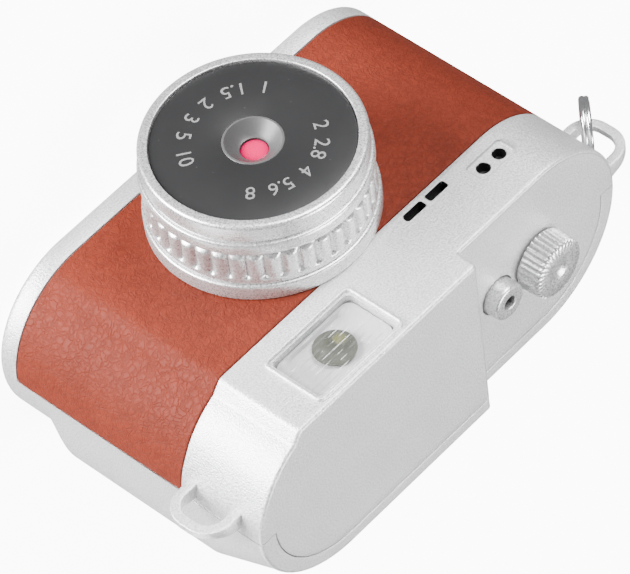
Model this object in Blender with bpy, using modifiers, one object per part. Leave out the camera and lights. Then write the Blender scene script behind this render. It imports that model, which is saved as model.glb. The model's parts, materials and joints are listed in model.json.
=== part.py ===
"""Thumb-size digital camera in rangefinder dress, as an assembly of separate pieces.

Metres, +Z up. The camera stands on its base at z = 0 with the lens facing -Y and the long
side along X. Pieces are laid out from the seam between front and back shell, and hang on an
empty that brings the middle of the base to the origin.
"""

import math

import bmesh
import bpy
from mathutils import Matrix, Vector

MM = 0.001

# Clearances
SEAM_GAP = 0.10 * MM
FIT = 0.10 * MM
SLIDE_FIT = 0.12 * MM
SEAT = 0.05 * MM

# Body shells
LENGTH = 50.0 * MM
FRONT_DEPTH = 9.3 * MM
RIM_DEPTH = 10.7 * MM
BULGE_DEPTH = 13.3 * MM
BULGE_CORNER = 9.3 * MM
PLATE_HEIGHT = 29.25 * MM
HUMP_RISE = 2.2 * MM
HUMP_EDGE_INSET = 20.55 * MM
WALL = 1.5 * MM
TOP_WALL = 1.6 * MM
RIM_WIDTH = 2.0 * MM
STEP_START = 5.0 * MM
STEP_RISE = 2.1 * MM
SLOPE_HEIGHT = 7.0 * MM
SLOPE_END = 0.5 * MM
HUMP_BLEND = 4.0 * MM

# Leatherette
LEATHER_LOW = 2.2 * MM
STRIP_HEIGHT = 7.15 * MM
LEATHER_THICK = 0.5 * MM

# Lens stack, heights forward of the front wall
LENS_X = 2.0 * MM
LENS_OVERHANG = 0.67 * MM
LENS_BASE_HEIGHT = 1.7 * MM
GRIP_INSET = 0.27 * MM
GRIP_HEIGHT = 3.8 * MM
GRIP_FLUTES = 40
FLUTE_DEPTH = 0.28 * MM
RIDGE_INSET = 0.17 * MM
RIDGE_HEIGHT = 1.35 * MM
GROOVE_DEPTH = 0.3 * MM
GROOVE_HEIGHT = 0.15 * MM
BEZEL_INSET = 0.42 * MM
BEZEL_HEIGHT = 2.15 * MM
BEZEL_ROUND = 0.35 * MM
DISC_INSET = 1.49 * MM
DISC_THICK = 0.4 * MM
DISC_SINK = 0.22 * MM
SLEEVE_INSET = 2.02 * MM
SLEEVE_WALL = 0.8 * MM
NUT_INSET = 0.62 * MM
NUT_HEIGHT = 0.9 * MM
CONE_RADIUS = 2.8 * MM
CONE_RIM = 0.2 * MM
CONE_DEPTH = 1.2 * MM
CONE_TUBE = 0.9 * MM
PUPIL_RADIUS = 1.25 * MM
PUPIL_THICK = 0.8 * MM
PUPIL_DOME = 0.2 * MM
MODULE_SIDE = 7.0 * MM
MODULE_LENGTH = 4.4 * MM
SENSOR_BOARD_THICK = 0.8 * MM
FLEX_WIDTH = 5.0 * MM
FLEX_THICK = 0.2 * MM
FLEX_DROP = 4.0 * MM

# Flash
FLASH_INSET = 15.37 * MM
FLASH_DROP = 4.25 * MM
FLASH_WIDTH = 10.5 * MM
FLASH_HEIGHT = 6.3 * MM
FLASH_BORDER = 0.6 * MM
FLASH_BORDER_RISE = 0.3 * MM
FLASH_CORNER = 1.1 * MM
FLASH_GLASS_THICK = 0.75 * MM
FLASH_TRAY_DEPTH = 1.75 * MM
FLASH_TRAY_WALL = 0.25 * MM
LED_SIDE = 4.2 * MM
LED_THICK = 1.2 * MM
FLASH_BOARD_THICK = 0.8 * MM

# Front grilles
PANEL_INSET = 10.63 * MM
PANEL_DROP = 4.7 * MM
PANEL_WIDTH = 4.5 * MM
PANEL_HEIGHT = 2.2 * MM
PANEL_SINK = 0.15 * MM
PANEL_HOLE_RADIUS = 0.66 * MM
PANEL_HOLE_PITCH = 2.12 * MM
SPEAKER_RADIUS = 1.9 * MM
SPEAKER_DEPTH = 2.0 * MM
SLOT_INSET = 2.75 * MM
SLOT_LIFT = 1.0 * MM
SLOT_PITCH = 2.92 * MM
SLOT_WIDTH = 2.2 * MM
SLOT_HEIGHT = 0.6 * MM
MIC_HEIGHT = 1.5 * MM
MIC_DEPTH = 1.3 * MM

# Top controls
CONTROL_Y = 0.6 * MM
DIAL_INSET = 10.7 * MM
DIAL_RADIUS = 3.15 * MM
DIAL_HEIGHT = 2.45 * MM
DIAL_LIFT = 0.15 * MM
DIAL_TEETH = 36
TOOTH_DEPTH = 0.16 * MM
DIMPLE_RADIUS = 0.8 * MM
DIMPLE_DEPTH = 0.3 * MM
AXLE_RADIUS = 1.0 * MM
CLIP_RADIUS = 1.9 * MM
CLIP_THICK = 0.5 * MM
AXLE_HEAD = 0.35 * MM
AXLE_HEAD_THICK = 0.4 * MM
BUTTON_PITCH = 5.56 * MM
BUTTON_RADIUS = 1.85 * MM
BUTTON_RISE = 1.5 * MM
BUTTON_FLANGE = 0.5 * MM
BUTTON_FLANGE_THICK = 0.8 * MM
BUTTON_TRAVEL = 0.6 * MM
BUTTON_HOLE_RADIUS = 0.55 * MM
BUTTON_HOLE_DEPTH = 1.0 * MM
SWITCH_SIDE = 3.2 * MM
SWITCH_HEIGHT = 1.2 * MM
SWITCH_ROUND = 0.15 * MM
TOP_BOARD_LENGTH = 6.5 * MM
TOP_BOARD_THICK = 0.7 * MM
TOP_BOARD_REACH = 3.6 * MM

# Back: screen and keys
SCREEN_INSET = 9.1 * MM
SCREEN_CORNER = 1.0 * MM
SCREEN_WINDOW_THICK = 0.9 * MM
SCREEN_SINK = 0.1 * MM
DISPLAY_MARGIN = 0.9 * MM
DISPLAY_THICK = 2.0 * MM
DISPLAY_GAP = 0.675 * MM
KEY_INSET = 13.4 * MM
KEY_GAP = 0.5 * MM
KEY_PITCH = 3.2 * MM
KEY_RADIUS = 1.5 * MM
KEY_RISE = 0.5 * MM
KEY_FLANGE = 0.4 * MM
KEY_FLANGE_THICK = 0.9 * MM
KEY_TRAVEL = 0.4 * MM
KEY_SWITCH_DEPTH = 3.4 * MM

# Boards, battery, ports
BOARD_FRONT_Y = 3.7 * MM
BOARD_THICK = 1.0 * MM
BOARD_INSET = 5.25 * MM
BOARD_LOW = 4.8 * MM
BOARD_DROP = 5.45 * MM
BATTERY_INSET = 5.5 * MM
BATTERY_WIDTH = 9.5 * MM
BATTERY_LOW = 8.2 * MM
BATTERY_DROP = 1.2 * MM
BATTERY_GAP = 0.4 * MM
BATTERY_ROUND = 0.6 * MM
CARD_LENGTH = 15.0 * MM
CARD_WIDTH = 11.0 * MM
CARD_THICK = 0.8 * MM
CARD_Y = 2.8 * MM
CARD_SINK = 0.4 * MM
SOCKET_WALL = 0.3 * MM
PORT_INSET = 19.0 * MM
PORT_Y = 2.0 * MM
PORT_WIDTH = 8.9 * MM
PORT_DEPTH = 3.1 * MM
PORT_HEIGHT = 7.2 * MM
PORT_SINK = 0.3 * MM
PORT_SHELL = 0.35 * MM
PORT_MOUTH = 5.5 * MM

# Screws
SCREW_INSET = 12.0 * MM
SCREW_RADIUS = 0.6 * MM
SCREW_HEAD_RADIUS = 1.0 * MM
SCREW_HEAD_THICK = 0.7 * MM
SCREW_LENGTH = 5.0 * MM
SCREW_SINK = 0.15 * MM
SCREW_DRIVE = 0.28 * MM
BOSS_RADIUS = 1.5 * MM

# Strap lugs and split ring
LUG_DROP = 3.25 * MM
LUG_HALF = 3.1 * MM
LUG_REACH = 3.6 * MM
LUG_BAR = 0.95 * MM
LUG_CORNER = 2.6 * MM
LUG_FRONT_Y = -2.0 * MM
LUG_ROOT = 1.0 * MM
RING_RADIUS = 2.9 * MM
RING_WIRE = 0.28 * MM
RING_OVERLAP = 0.85
RING_OFFSET_Y = 0.15 * MM

ARC_STEPS = 10
ROUND_STEPS = 48

# Places that follow from those sizes: along the length
HALF = LENGTH / 2
HUMP_EDGE_X = HUMP_EDGE_INSET - HALF
FLASH_X = HALF - FLASH_INSET
PANEL_X = PANEL_INSET - HALF
SLOT_X = HUMP_EDGE_X - SLOT_INSET
DIAL_X = DIAL_INSET - HALF
BUTTON_X = DIAL_X + BUTTON_PITCH
KEY_X = KEY_INSET - HALF
PORT_X = PORT_INSET - HALF
SCREW_X = HALF - SCREW_INSET
SCREEN_RIGHT = HALF - SCREEN_INSET
SCREEN_LEFT = KEY_X + KEY_PITCH + KEY_RADIUS + KEY_FLANGE + KEY_GAP + DISPLAY_MARGIN
SCREEN_X = (SCREEN_LEFT + SCREEN_RIGHT) / 2
SCREEN_WIDTH = SCREEN_RIGHT - SCREEN_LEFT

# Up the height
HUMP_HEIGHT = PLATE_HEIGHT + HUMP_RISE
LEATHER_HIGH = PLATE_HEIGHT - STRIP_HEIGHT
LENS_Z = (LEATHER_LOW + LEATHER_HIGH) / 2
FLASH_Z = HUMP_HEIGHT - FLASH_DROP
PANEL_Z = PLATE_HEIGHT - PANEL_DROP
SLOT_Z = LEATHER_HIGH + SLOT_LIFT
LUG_Z = PLATE_HEIGHT - LUG_DROP
SCREW_Z = WALL + FIT + BOSS_RADIUS
DEEP_LOW = STEP_START + STEP_RISE
DEEP_HIGH = PLATE_HEIGHT - SLOPE_HEIGHT - SLOPE_END + WALL
SCREEN_Z = (DEEP_LOW + DEEP_HIGH) / 2
SCREEN_HEIGHT = DEEP_HIGH - DEEP_LOW - 2 * (DISPLAY_GAP + DISPLAY_MARGIN)
CARD_Z = SCREEN_Z
BOARD_HIGH = PLATE_HEIGHT - BOARD_DROP
BATTERY_HIGH = BOARD_HIGH - BATTERY_DROP

# Through the depth
BASE_MIDDLE_Y = (RIM_DEPTH - FRONT_DEPTH) / 2
BACK_INNER = BULGE_DEPTH - WALL
BOARD_BACK_Y = BOARD_FRONT_Y + BOARD_THICK
SLEEVE_FOOT_Y = -FRONT_DEPTH + WALL + NUT_HEIGHT + 2 * FIT

# Out from the lens axis
LENS_BASE_RADIUS = (LEATHER_HIGH - LEATHER_LOW) / 2 + LENS_OVERHANG
GRIP_RADIUS = LENS_BASE_RADIUS - GRIP_INSET
RIDGE_RADIUS = LENS_BASE_RADIUS - RIDGE_INSET
BEZEL_RADIUS = LENS_BASE_RADIUS - BEZEL_INSET
DISC_RADIUS = LENS_BASE_RADIUS - DISC_INSET
SLEEVE_RADIUS = LENS_BASE_RADIUS - SLEEVE_INSET
NUT_RADIUS = LENS_BASE_RADIUS - NUT_INSET

# Forward from the front wall
GRIP_BASE = SEAT + LENS_BASE_HEIGHT + FIT
BEZEL_BASE = GRIP_BASE + GRIP_HEIGHT + FIT
LENS_TOP = BEZEL_BASE + RIDGE_HEIGHT + BEZEL_HEIGHT
DISC_TOP = LENS_TOP - DISC_SINK
DISC_UNDER = DISC_TOP - DISC_THICK

SILVER = ("silver_paint", (0.72, 0.72, 0.72), 0.38, 0.55)
LEATHER = ("red_leatherette", (0.46, 0.09, 0.055), 0.6, 0.0)
BRIGHT = ("bright_steel", (0.8, 0.8, 0.8), 0.2, 1.0)
BLACK = ("black_plastic", (0.05, 0.05, 0.05), 0.45, 0.0)
GREY = ("grey_plastic", (0.16, 0.16, 0.16), 0.5, 0.0)
WHITE = ("white_plastic", (0.85, 0.85, 0.83), 0.4, 0.0)
PHOSPHOR = ("led_phosphor", (0.75, 0.68, 0.25), 0.4, 0.0)
CLEAR = ("clear_plastic", (0.8, 0.82, 0.84), 0.08, 0.0)
COATED = ("coated_glass", (0.9, 0.15, 0.32), 0.05, 0.0)
GREEN = ("board_green", (0.02, 0.16, 0.06), 0.5, 0.0)
FOIL = ("battery_foil", (0.55, 0.56, 0.58), 0.35, 0.9)
GLASS = ("screen_glass", (0.01, 0.01, 0.012), 0.06, 0.0)
AMBER = ("flex_amber", (0.5, 0.24, 0.05), 0.4, 0.0)


def new_collection(name):
    """Return a new collection linked to the scene."""
    collection = bpy.data.collections.new(name)
    bpy.context.scene.collection.children.link(collection)
    return collection


def paint(finish):
    """Return a new Principled material for one piece from a (name, colour, rough, metal) finish."""
    name, colour, rough, metal = finish
    material = bpy.data.materials.new(name)
    material.use_nodes = True
    shader = material.node_tree.nodes["Principled BSDF"]
    shader.inputs["Base Color"].default_value = (*colour, 1.0)
    shader.inputs["Roughness"].default_value = rough
    shader.inputs["Metallic"].default_value = metal
    return material


def put(name, mesh, finish=None):
    """Make an object of a mesh: a part where it has a finish, and otherwise a hidden tool."""
    obj = bpy.data.objects.new(name, mesh)
    if finish:
        PARTS.objects.link(obj)
        mesh.materials.append(paint(finish))
    else:
        TOOLS.objects.link(obj)
        obj.hide_render = True
        obj.display_type = "WIRE"
    return obj


def smooth(obj, degrees=32):
    """Shade round faces smooth and keep hard edges."""
    obj.data.shade_smooth()
    obj.data.set_sharp_from_angle(angle=math.radians(degrees))
    return obj


def box(name, low, high, finish=None, bevel=0.0):
    """Make a box between two corners, with its edges bevelled if asked."""
    mesh = bpy.data.meshes.new(name)
    shape = bmesh.new()
    size = Vector(high) - Vector(low)
    bmesh.ops.create_cube(shape, size=1.0, matrix=Matrix.Diagonal((*size, 1.0)))
    shape.to_mesh(mesh)
    shape.free()
    obj = put(name, mesh, finish)
    obj.location = (Vector(high) + Vector(low)) / 2
    if bevel:
        rounding = obj.modifiers.new("round_edges", "BEVEL")
        rounding.width = bevel
        rounding.segments = 2
    return obj


AXIS_TURN = {
    "Z": Matrix.Identity(4),
    "-Y": Matrix.Rotation(math.pi / 2, 4, "X"),
    "Y": Matrix.Rotation(-math.pi / 2, 4, "X"),
}


def rod(name, foot, axis, radius, length, finish=None, steps=24):
    """Make a cylinder that starts at foot and runs along an axis."""
    mesh = bpy.data.meshes.new(name)
    shape = bmesh.new()
    raised = Matrix.Translation((0.0, 0.0, length / 2))
    bmesh.ops.create_cone(
        shape, cap_ends=True, segments=steps, radius1=radius, radius2=radius, depth=length, matrix=raised
    )
    shape.to_mesh(mesh)
    shape.free()
    obj = put(name, mesh, finish)
    obj.matrix_world = Matrix.Translation(foot) @ AXIS_TURN[axis]
    return obj


def turned(name, foot, axis, profile, finish, steps=ROUND_STEPS):
    """Turn a closed (radius, height) profile round an axis; a profile that starts on the axis is open."""
    mesh = bpy.data.meshes.new(name)
    points = [(radius, 0.0, height) for radius, height in profile]
    edges = [(i, i + 1) for i in range(len(points) - 1)]
    if profile[0][0] > 0.0:
        edges.append((len(points) - 1, 0))
    mesh.from_pydata(points, edges, [])
    obj = put(name, mesh, finish)
    obj.matrix_world = Matrix.Translation(foot) @ AXIS_TURN[axis]
    screw = obj.modifiers.new("turn", "SCREW")
    screw.axis = "Z"
    screw.steps = steps
    screw.render_steps = steps
    screw.use_merge_vertices = True
    screw.merge_threshold = 0.00001
    screw.use_smooth_shade = False
    return obj


def arc(centre, radius, start, end, steps=ARC_STEPS):
    """Return points on an arc between two angles in degrees."""
    points = []
    for i in range(steps + 1):
        angle = math.radians(start + (end - start) * i / steps)
        points.append((centre[0] + radius * math.cos(angle), centre[1] + radius * math.sin(angle)))
    return points


def rounded_rectangle(width, height, corner, steps=4):
    """Return the outline of a rectangle with round corners, about the origin."""
    x = width / 2 - corner
    y = height / 2 - corner
    outline = arc((x, y), corner, 0, 90, steps)
    outline += arc((-x, y), corner, 90, 180, steps)
    outline += arc((-x, -y), corner, 180, 270, steps)
    outline += arc((x, -y), corner, 270, 360, steps)
    return outline


def prism(name, outline, foot, axis, length, finish=None):
    """Fill a flat outline and thicken it from foot along an axis; the curve becomes a welded mesh."""
    curve = bpy.data.curves.new(name, "CURVE")
    curve.dimensions = "2D"
    curve.fill_mode = "BOTH"
    curve.extrude = length / 2
    spline = curve.splines.new("POLY")
    spline.points.add(len(outline) - 1)
    for point, (x, y) in zip(spline.points, outline):
        point.co = (x, y, 0.0, 1.0)
    spline.use_cyclic_u = True
    flat = bpy.data.objects.new(name + "_outline", curve)
    TOOLS.objects.link(flat)
    bpy.context.view_layer.update()
    solid = bpy.data.meshes.new_from_object(flat.evaluated_get(bpy.context.evaluated_depsgraph_get()))
    bpy.data.objects.remove(flat)
    solid.materials.clear()
    shape = bmesh.new()
    shape.from_mesh(solid)
    bmesh.ops.remove_doubles(shape, verts=shape.verts, dist=0.000001)
    bmesh.ops.recalc_face_normals(shape, faces=shape.faces)
    shape.to_mesh(solid)
    shape.free()
    solid.name = name
    obj = put(name, solid, finish)
    obj.matrix_world = Matrix.Translation(foot) @ AXIS_TURN[axis] @ Matrix.Translation((0, 0, length / 2))
    return obj


def combine(obj, tool, operation):
    """Add a live exact Boolean of a tool to an object."""
    change = obj.modifiers.new(operation.lower() + "_" + tool.name, "BOOLEAN")
    change.operation = operation
    change.solver = "EXACT"
    change.object = tool
    return obj


def cut(obj, tool):
    return combine(obj, tool, "DIFFERENCE")


def add(obj, tool):
    return combine(obj, tool, "UNION")


def front_outline(offset, back=0.0):
    """Return the plan of the front half, moved out by offset and closed at y = back."""
    centre = HALF - FRONT_DEPTH
    radius = FRONT_DEPTH + offset
    side = arc((centre, 0.0), radius, 0, -90)
    far_side = arc((-centre, 0.0), radius, -90, -180)
    if not back:
        return side + far_side
    return [(HALF + offset, back)] + side + far_side + [(-HALF - offset, back)]


def back_plan(corner, straight, offset=0.0):
    """Return the plan of the back half: an end wall, a corner arc, the rear and the same again."""
    centre = HALF - corner
    side = [(HALF + offset, SEAM_GAP / 2)] + arc((centre, straight), corner + offset, 0, 90)
    return side + [(-x, y) for x, y in reversed(side)]


def top_slab_outline(gap=0.0):
    """Return the plan of the top plate behind the seam, inside the back shell's rim."""
    corner = RIM_DEPTH - RIM_WIDTH + gap
    centre = HALF - RIM_DEPTH
    side = [(HALF - RIM_WIDTH + gap, -FRONT_DEPTH / 4)] + arc((centre, 0.0), corner, 0, 90)
    return side + [(-x, y) for x, y in reversed(side)]


def hump_room_outline():
    """Return the plan of the room under the hump, inside the front wall and the top plate's edge."""
    left = HUMP_EDGE_X + TOP_WALL
    inset = WALL + FIT
    front = arc((HALF - FRONT_DEPTH, 0.0), FRONT_DEPTH - inset, -90, 0)
    rear = arc((HALF - RIM_DEPTH, 0.0), RIM_DEPTH - RIM_WIDTH - inset, 0, 90)
    return [(left, -FRONT_DEPTH + inset)] + front + rear + [(left, RIM_DEPTH - RIM_WIDTH - inset)]


def ease(value):
    """Blend smoothly from 0 to 1."""
    value = min(1.0, max(0.0, value))
    return value * value * (3.0 - 2.0 * value)


def top_height(x):
    """Return the height that the back slope ends under, lower beside the hump."""
    return PLATE_HEIGHT + HUMP_RISE * ease((x - HUMP_EDGE_X) / HUMP_BLEND + 0.5)


def lofted_back(name, finish):
    """Loft the back shell's outside: plain rims low and high, and a deeper middle between them."""
    middle = (BULGE_CORNER, BULGE_DEPTH - BULGE_CORNER)
    rim = (RIM_DEPTH - SEAM_GAP, SEAM_GAP)
    rise = [i / 6 for i in range(7)]
    levels = [(0.0, 0.0, 0.0)]
    levels += [(STEP_START + STEP_RISE * t, 0.0, ease(t)) for t in rise]
    levels += [(-SLOPE_HEIGHT - SLOPE_END + SLOPE_HEIGHT * t, 1.0, 1.0 - t) for t in rise]
    shape = bmesh.new()
    rings = []
    for height, hangs, bulge in levels:
        corner = rim[0] + (middle[0] - rim[0]) * bulge
        straight = rim[1] + (middle[1] - rim[1]) * bulge
        plan = back_plan(corner, straight)
        rings.append([shape.verts.new((x, y, height + hangs * top_height(x))) for x, y in plan])
    rings.append([shape.verts.new((x, y, HUMP_HEIGHT)) for x, y in back_plan(*rim)])
    for lower, upper in zip(rings, rings[1:]):
        for i in range(len(lower)):
            j = (i + 1) % len(lower)
            shape.faces.new((lower[i], lower[j], upper[j], upper[i]))
    shape.faces.new(list(reversed(rings[0])))
    shape.faces.new(rings[-1])
    bmesh.ops.recalc_face_normals(shape, faces=shape.faces)
    mesh = bpy.data.meshes.new(name)
    shape.to_mesh(mesh)
    shape.free()
    return put(name, mesh, finish)


def beside_hump(name):
    """Return the cutter that lowers the top plate beside the hump."""
    low = (-LENGTH, -LENGTH, PLATE_HEIGHT)
    return box(name, low, (HUMP_EDGE_X, LENGTH, HUMP_HEIGHT + WALL))


def leather_band(name, outer, inner, low, high, finish=None):
    """Make an upright band between two open plans of the front half."""
    band = outer + list(reversed(inner))
    return prism(name, band, (0.0, -SEAM_GAP / 2, low), "Z", high - low, finish)


def leather_recess():
    """Return the cutter that sinks the leatherette into the front shell, clear of the lens pad."""
    x = HALF + WALL
    y = -FRONT_DEPTH - WALL
    around = [(x, WALL), (x, y), (-x, y), (-x, WALL)]
    floor = front_outline(-LEATHER_THICK - FIT, WALL)
    recess = leather_band("leather_recess", around, floor, LEATHER_LOW, LEATHER_HIGH)
    pad_foot = lens_foot() + Vector((0, FRONT_DEPTH, 0))
    return cut(recess, rod("lens_pad", pad_foot, "-Y", LENS_BASE_RADIUS + FIT, LENGTH, steps=ROUND_STEPS))


def lens_foot():
    return Vector((LENS_X, -FRONT_DEPTH, LENS_Z))


def lug_outline(grow=0.0):
    """Return the C outline of a strap lug from its roots, with x measured outward from the body end."""
    reach = LUG_REACH + grow
    half = LUG_HALF + grow
    bar = LUG_BAR + 2 * grow
    corner = LUG_CORNER + grow
    outer = [(-LUG_ROOT - grow, -half)] + arc((reach - corner, -half + corner), corner, -90, 0, 6)
    outer += arc((reach - corner, half - corner), corner, 0, 90, 6) + [(-LUG_ROOT - grow, half)]
    inner_corner = corner - bar
    inner = [(-LUG_ROOT - grow, half - bar)]
    inner += arc((reach - corner, half - corner), inner_corner, 90, 0, 6)
    inner += arc((reach - corner, -half + corner), inner_corner, 0, -90, 6)
    return outer + inner + [(-LUG_ROOT - grow, -half + bar)]


def strap_lug(name, side, finish=None, grow=0.0):
    """Make a strap lug, or the cutter of its seat, on the end at side * HALF."""
    outline = [(side * (HALF + x), z) for x, z in lug_outline(grow)]
    depth = -SEAM_GAP - LUG_FRONT_Y + 2 * grow
    return prism(name, outline, (0.0, -SEAM_GAP + grow, LUG_Z), "-Y", depth, finish)


def front_shell():
    shell = prism("front_shell", front_outline(0.0), (0, -SEAM_GAP / 2, 0), "Z", HUMP_HEIGHT, SILVER)
    slab_low = PLATE_HEIGHT - TOP_WALL
    slab = prism("top_slab", top_slab_outline(), (0, 0, slab_low), "Z", HUMP_HEIGHT - slab_low)
    add(shell, slab)
    hollow = prism("hollow", front_outline(-WALL, LENGTH), (0, 0, WALL), "Z", slab_low - WALL)
    cut(shell, hollow)
    room_low = slab_low - WALL
    room = prism("hump_room", hump_room_outline(), (0, 0, room_low), "Z", HUMP_HEIGHT - TOP_WALL - room_low)
    cut(shell, room)
    cut(shell, beside_hump("beside_hump_front"))
    bore_foot = lens_foot() + Vector((0, 2 * WALL, 0))
    cut(shell, rod("lens_bore", bore_foot, "-Y", SLEEVE_RADIUS + FIT, 4 * WALL, steps=ROUND_STEPS))
    cut(shell, leather_recess())
    for side in (-1, 1):
        foot = (side * SCREW_X, -FRONT_DEPTH + WALL / 2, SCREW_Z)
        length = FRONT_DEPTH - WALL / 2 + RIM_DEPTH - WALL - SEAM_GAP
        add(shell, rod("boss_%d" % side, foot, "Y", BOSS_RADIUS, length, steps=16))
        pilot = (side * SCREW_X, RIM_DEPTH - WALL - SCREW_LENGTH, SCREW_Z)
        cut(shell, rod("pilot_%d" % side, pilot, "Y", SCREW_RADIUS + SEAT, SCREW_LENGTH, steps=12))
        cut(shell, strap_lug("lug_seat_%d" % side, side, grow=FIT))
    opening = rounded_rectangle(*flash_opening(), FLASH_CORNER - FLASH_BORDER / 2)
    flash_foot = (FLASH_X, -FRONT_DEPTH + 2 * WALL, FLASH_Z)
    cut(shell, prism("flash_opening", opening, flash_foot, "-Y", 4 * WALL))
    panel = rounded_rectangle(PANEL_WIDTH, PANEL_HEIGHT, PANEL_HEIGHT / 8, 2)
    panel_foot = (PANEL_X, -FRONT_DEPTH + PANEL_SINK, PANEL_Z)
    cut(shell, prism("panel_sink", panel, panel_foot, "-Y", WALL))
    for side in (-1, 1):
        foot = (PANEL_X + side * PANEL_HOLE_PITCH / 2, -FRONT_DEPTH + 2 * WALL, PANEL_Z)
        cut(shell, rod("panel_hole_%d" % side, foot, "-Y", PANEL_HOLE_RADIUS, 4 * WALL, steps=16))
        x = SLOT_X + side * SLOT_PITCH / 2
        low = (x - SLOT_WIDTH / 2, -FRONT_DEPTH - WALL, SLOT_Z - SLOT_HEIGHT / 2)
        high = (x + SLOT_WIDTH / 2, -FRONT_DEPTH + 2 * WALL, SLOT_Z + SLOT_HEIGHT / 2)
        cut(shell, box("slot_%d" % side, low, high))
    top_foot = (0.0, CONTROL_Y, PLATE_HEIGHT - 2 * TOP_WALL)
    dial_foot = Vector(top_foot) + Vector((DIAL_X, 0, 0))
    cut(shell, rod("axle_hole", dial_foot, "Z", AXLE_RADIUS + SLIDE_FIT, 4 * TOP_WALL))
    button_foot = Vector(top_foot) + Vector((BUTTON_X, 0, 0))
    cut(shell, rod("button_hole", button_foot, "Z", BUTTON_RADIUS + SLIDE_FIT, 4 * TOP_WALL))
    return smooth(shell)


def back_shell():
    shell = lofted_back("back_shell", SILVER)
    rim_plan = back_plan(RIM_DEPTH - SEAM_GAP, SEAM_GAP, -WALL)
    rim_plan = [(x, -WALL if y <= SEAM_GAP else y) for x, y in rim_plan]
    top_low = PLATE_HEIGHT - TOP_WALL - FIT
    cut(shell, prism("rim_room", rim_plan, (0, 0, WALL), "Z", top_low - WALL + SEAM_GAP))
    straight = BULGE_DEPTH - BULGE_CORNER
    deep_plan = back_plan(BULGE_CORNER, straight, -WALL)
    deep_plan = [(x, -WALL if y <= SEAM_GAP else y) for x, y in deep_plan]
    cut(shell, prism("deep_room", deep_plan, (0, 0, DEEP_LOW), "Z", DEEP_HIGH - DEEP_LOW))
    mouth = prism("top_mouth", top_slab_outline(FIT), (0, 0, top_low), "Z", HUMP_HEIGHT)
    cut(shell, mouth)
    cut(shell, beside_hump("beside_hump_back"))
    window = rounded_rectangle(SCREEN_WIDTH, SCREEN_HEIGHT, SCREEN_CORNER)
    cut(shell, prism("screen_opening", window, (SCREEN_X, BACK_INNER - WALL, SCREEN_Z), "Y", 4 * WALL))
    for name, x, z in key_places():
        cut(shell, rod(name + "_hole", (x, BACK_INNER - WALL, z), "Y", KEY_RADIUS + SLIDE_FIT, 4 * WALL))
    half_card = CARD_WIDTH / 2 + 2 * FIT
    slot_low = (-HALF - WALL, CARD_Y - CARD_THICK / 2 - 2 * FIT, CARD_Z - half_card)
    slot_high = (-HALF + 2 * WALL, CARD_Y + CARD_THICK / 2 + 2 * FIT, CARD_Z + half_card)
    cut(shell, box("card_slot", slot_low, slot_high))
    port = rounded_rectangle(PORT_WIDTH + 2 * FIT, PORT_DEPTH + 2 * FIT, PORT_DEPTH / 2 - FIT)
    cut(shell, prism("port_opening", port, (PORT_X, PORT_Y, -WALL), "Z", 4 * WALL))
    for side in (-1, 1):
        through = (side * SCREW_X, RIM_DEPTH - 2 * WALL, SCREW_Z)
        cut(shell, rod("screw_hole_%d" % side, through, "Y", SCREW_RADIUS + FIT, 4 * WALL, steps=12))
        seat = (side * SCREW_X, RIM_DEPTH - SCREW_HEAD_THICK - SCREW_SINK - SEAT, SCREW_Z)
        cut(shell, rod("screw_seat_%d" % side, seat, "Y", SCREW_HEAD_RADIUS + FIT, WALL, steps=20))
    return smooth(shell)


def leather_panels():
    """Make the two leatherette panels, one on each side of the lens."""
    low = LEATHER_LOW + FIT
    high = LEATHER_HIGH - FIT
    clear = LENS_BASE_RADIUS + 2 * FIT
    for name, side in (("leather_left", 1), ("leather_right", -1)):
        panel = leather_band(name, front_outline(0.0), front_outline(-LEATHER_THICK), low, high, LEATHER)
        foot = lens_foot() + Vector((0, FRONT_DEPTH, 0))
        cut(panel, rod(name + "_lens_cut", foot, "-Y", clear, 3 * FRONT_DEPTH, steps=ROUND_STEPS))
        far = (-side * LENGTH + LENS_X, -LENGTH, -LENGTH)
        near = (LENS_X, LENGTH, LENGTH)
        corners = [[min(a, b) for a, b in zip(far, near)], [max(a, b) for a, b in zip(far, near)]]
        cut(panel, box(name + "_far_side", *corners))
        smooth(panel)


def wavy_outline(radius, depth, count):
    """Return a round outline with shallow flutes: two points on each crest and two in each valley."""
    outline = []
    for i in range(4 * count):
        angle = 2 * math.pi * (i + 0.5) / (4 * count)
        reach = radius if i % 4 < 2 else radius - depth
        outline.append((reach * math.cos(angle), reach * math.sin(angle)))
    return outline


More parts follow.
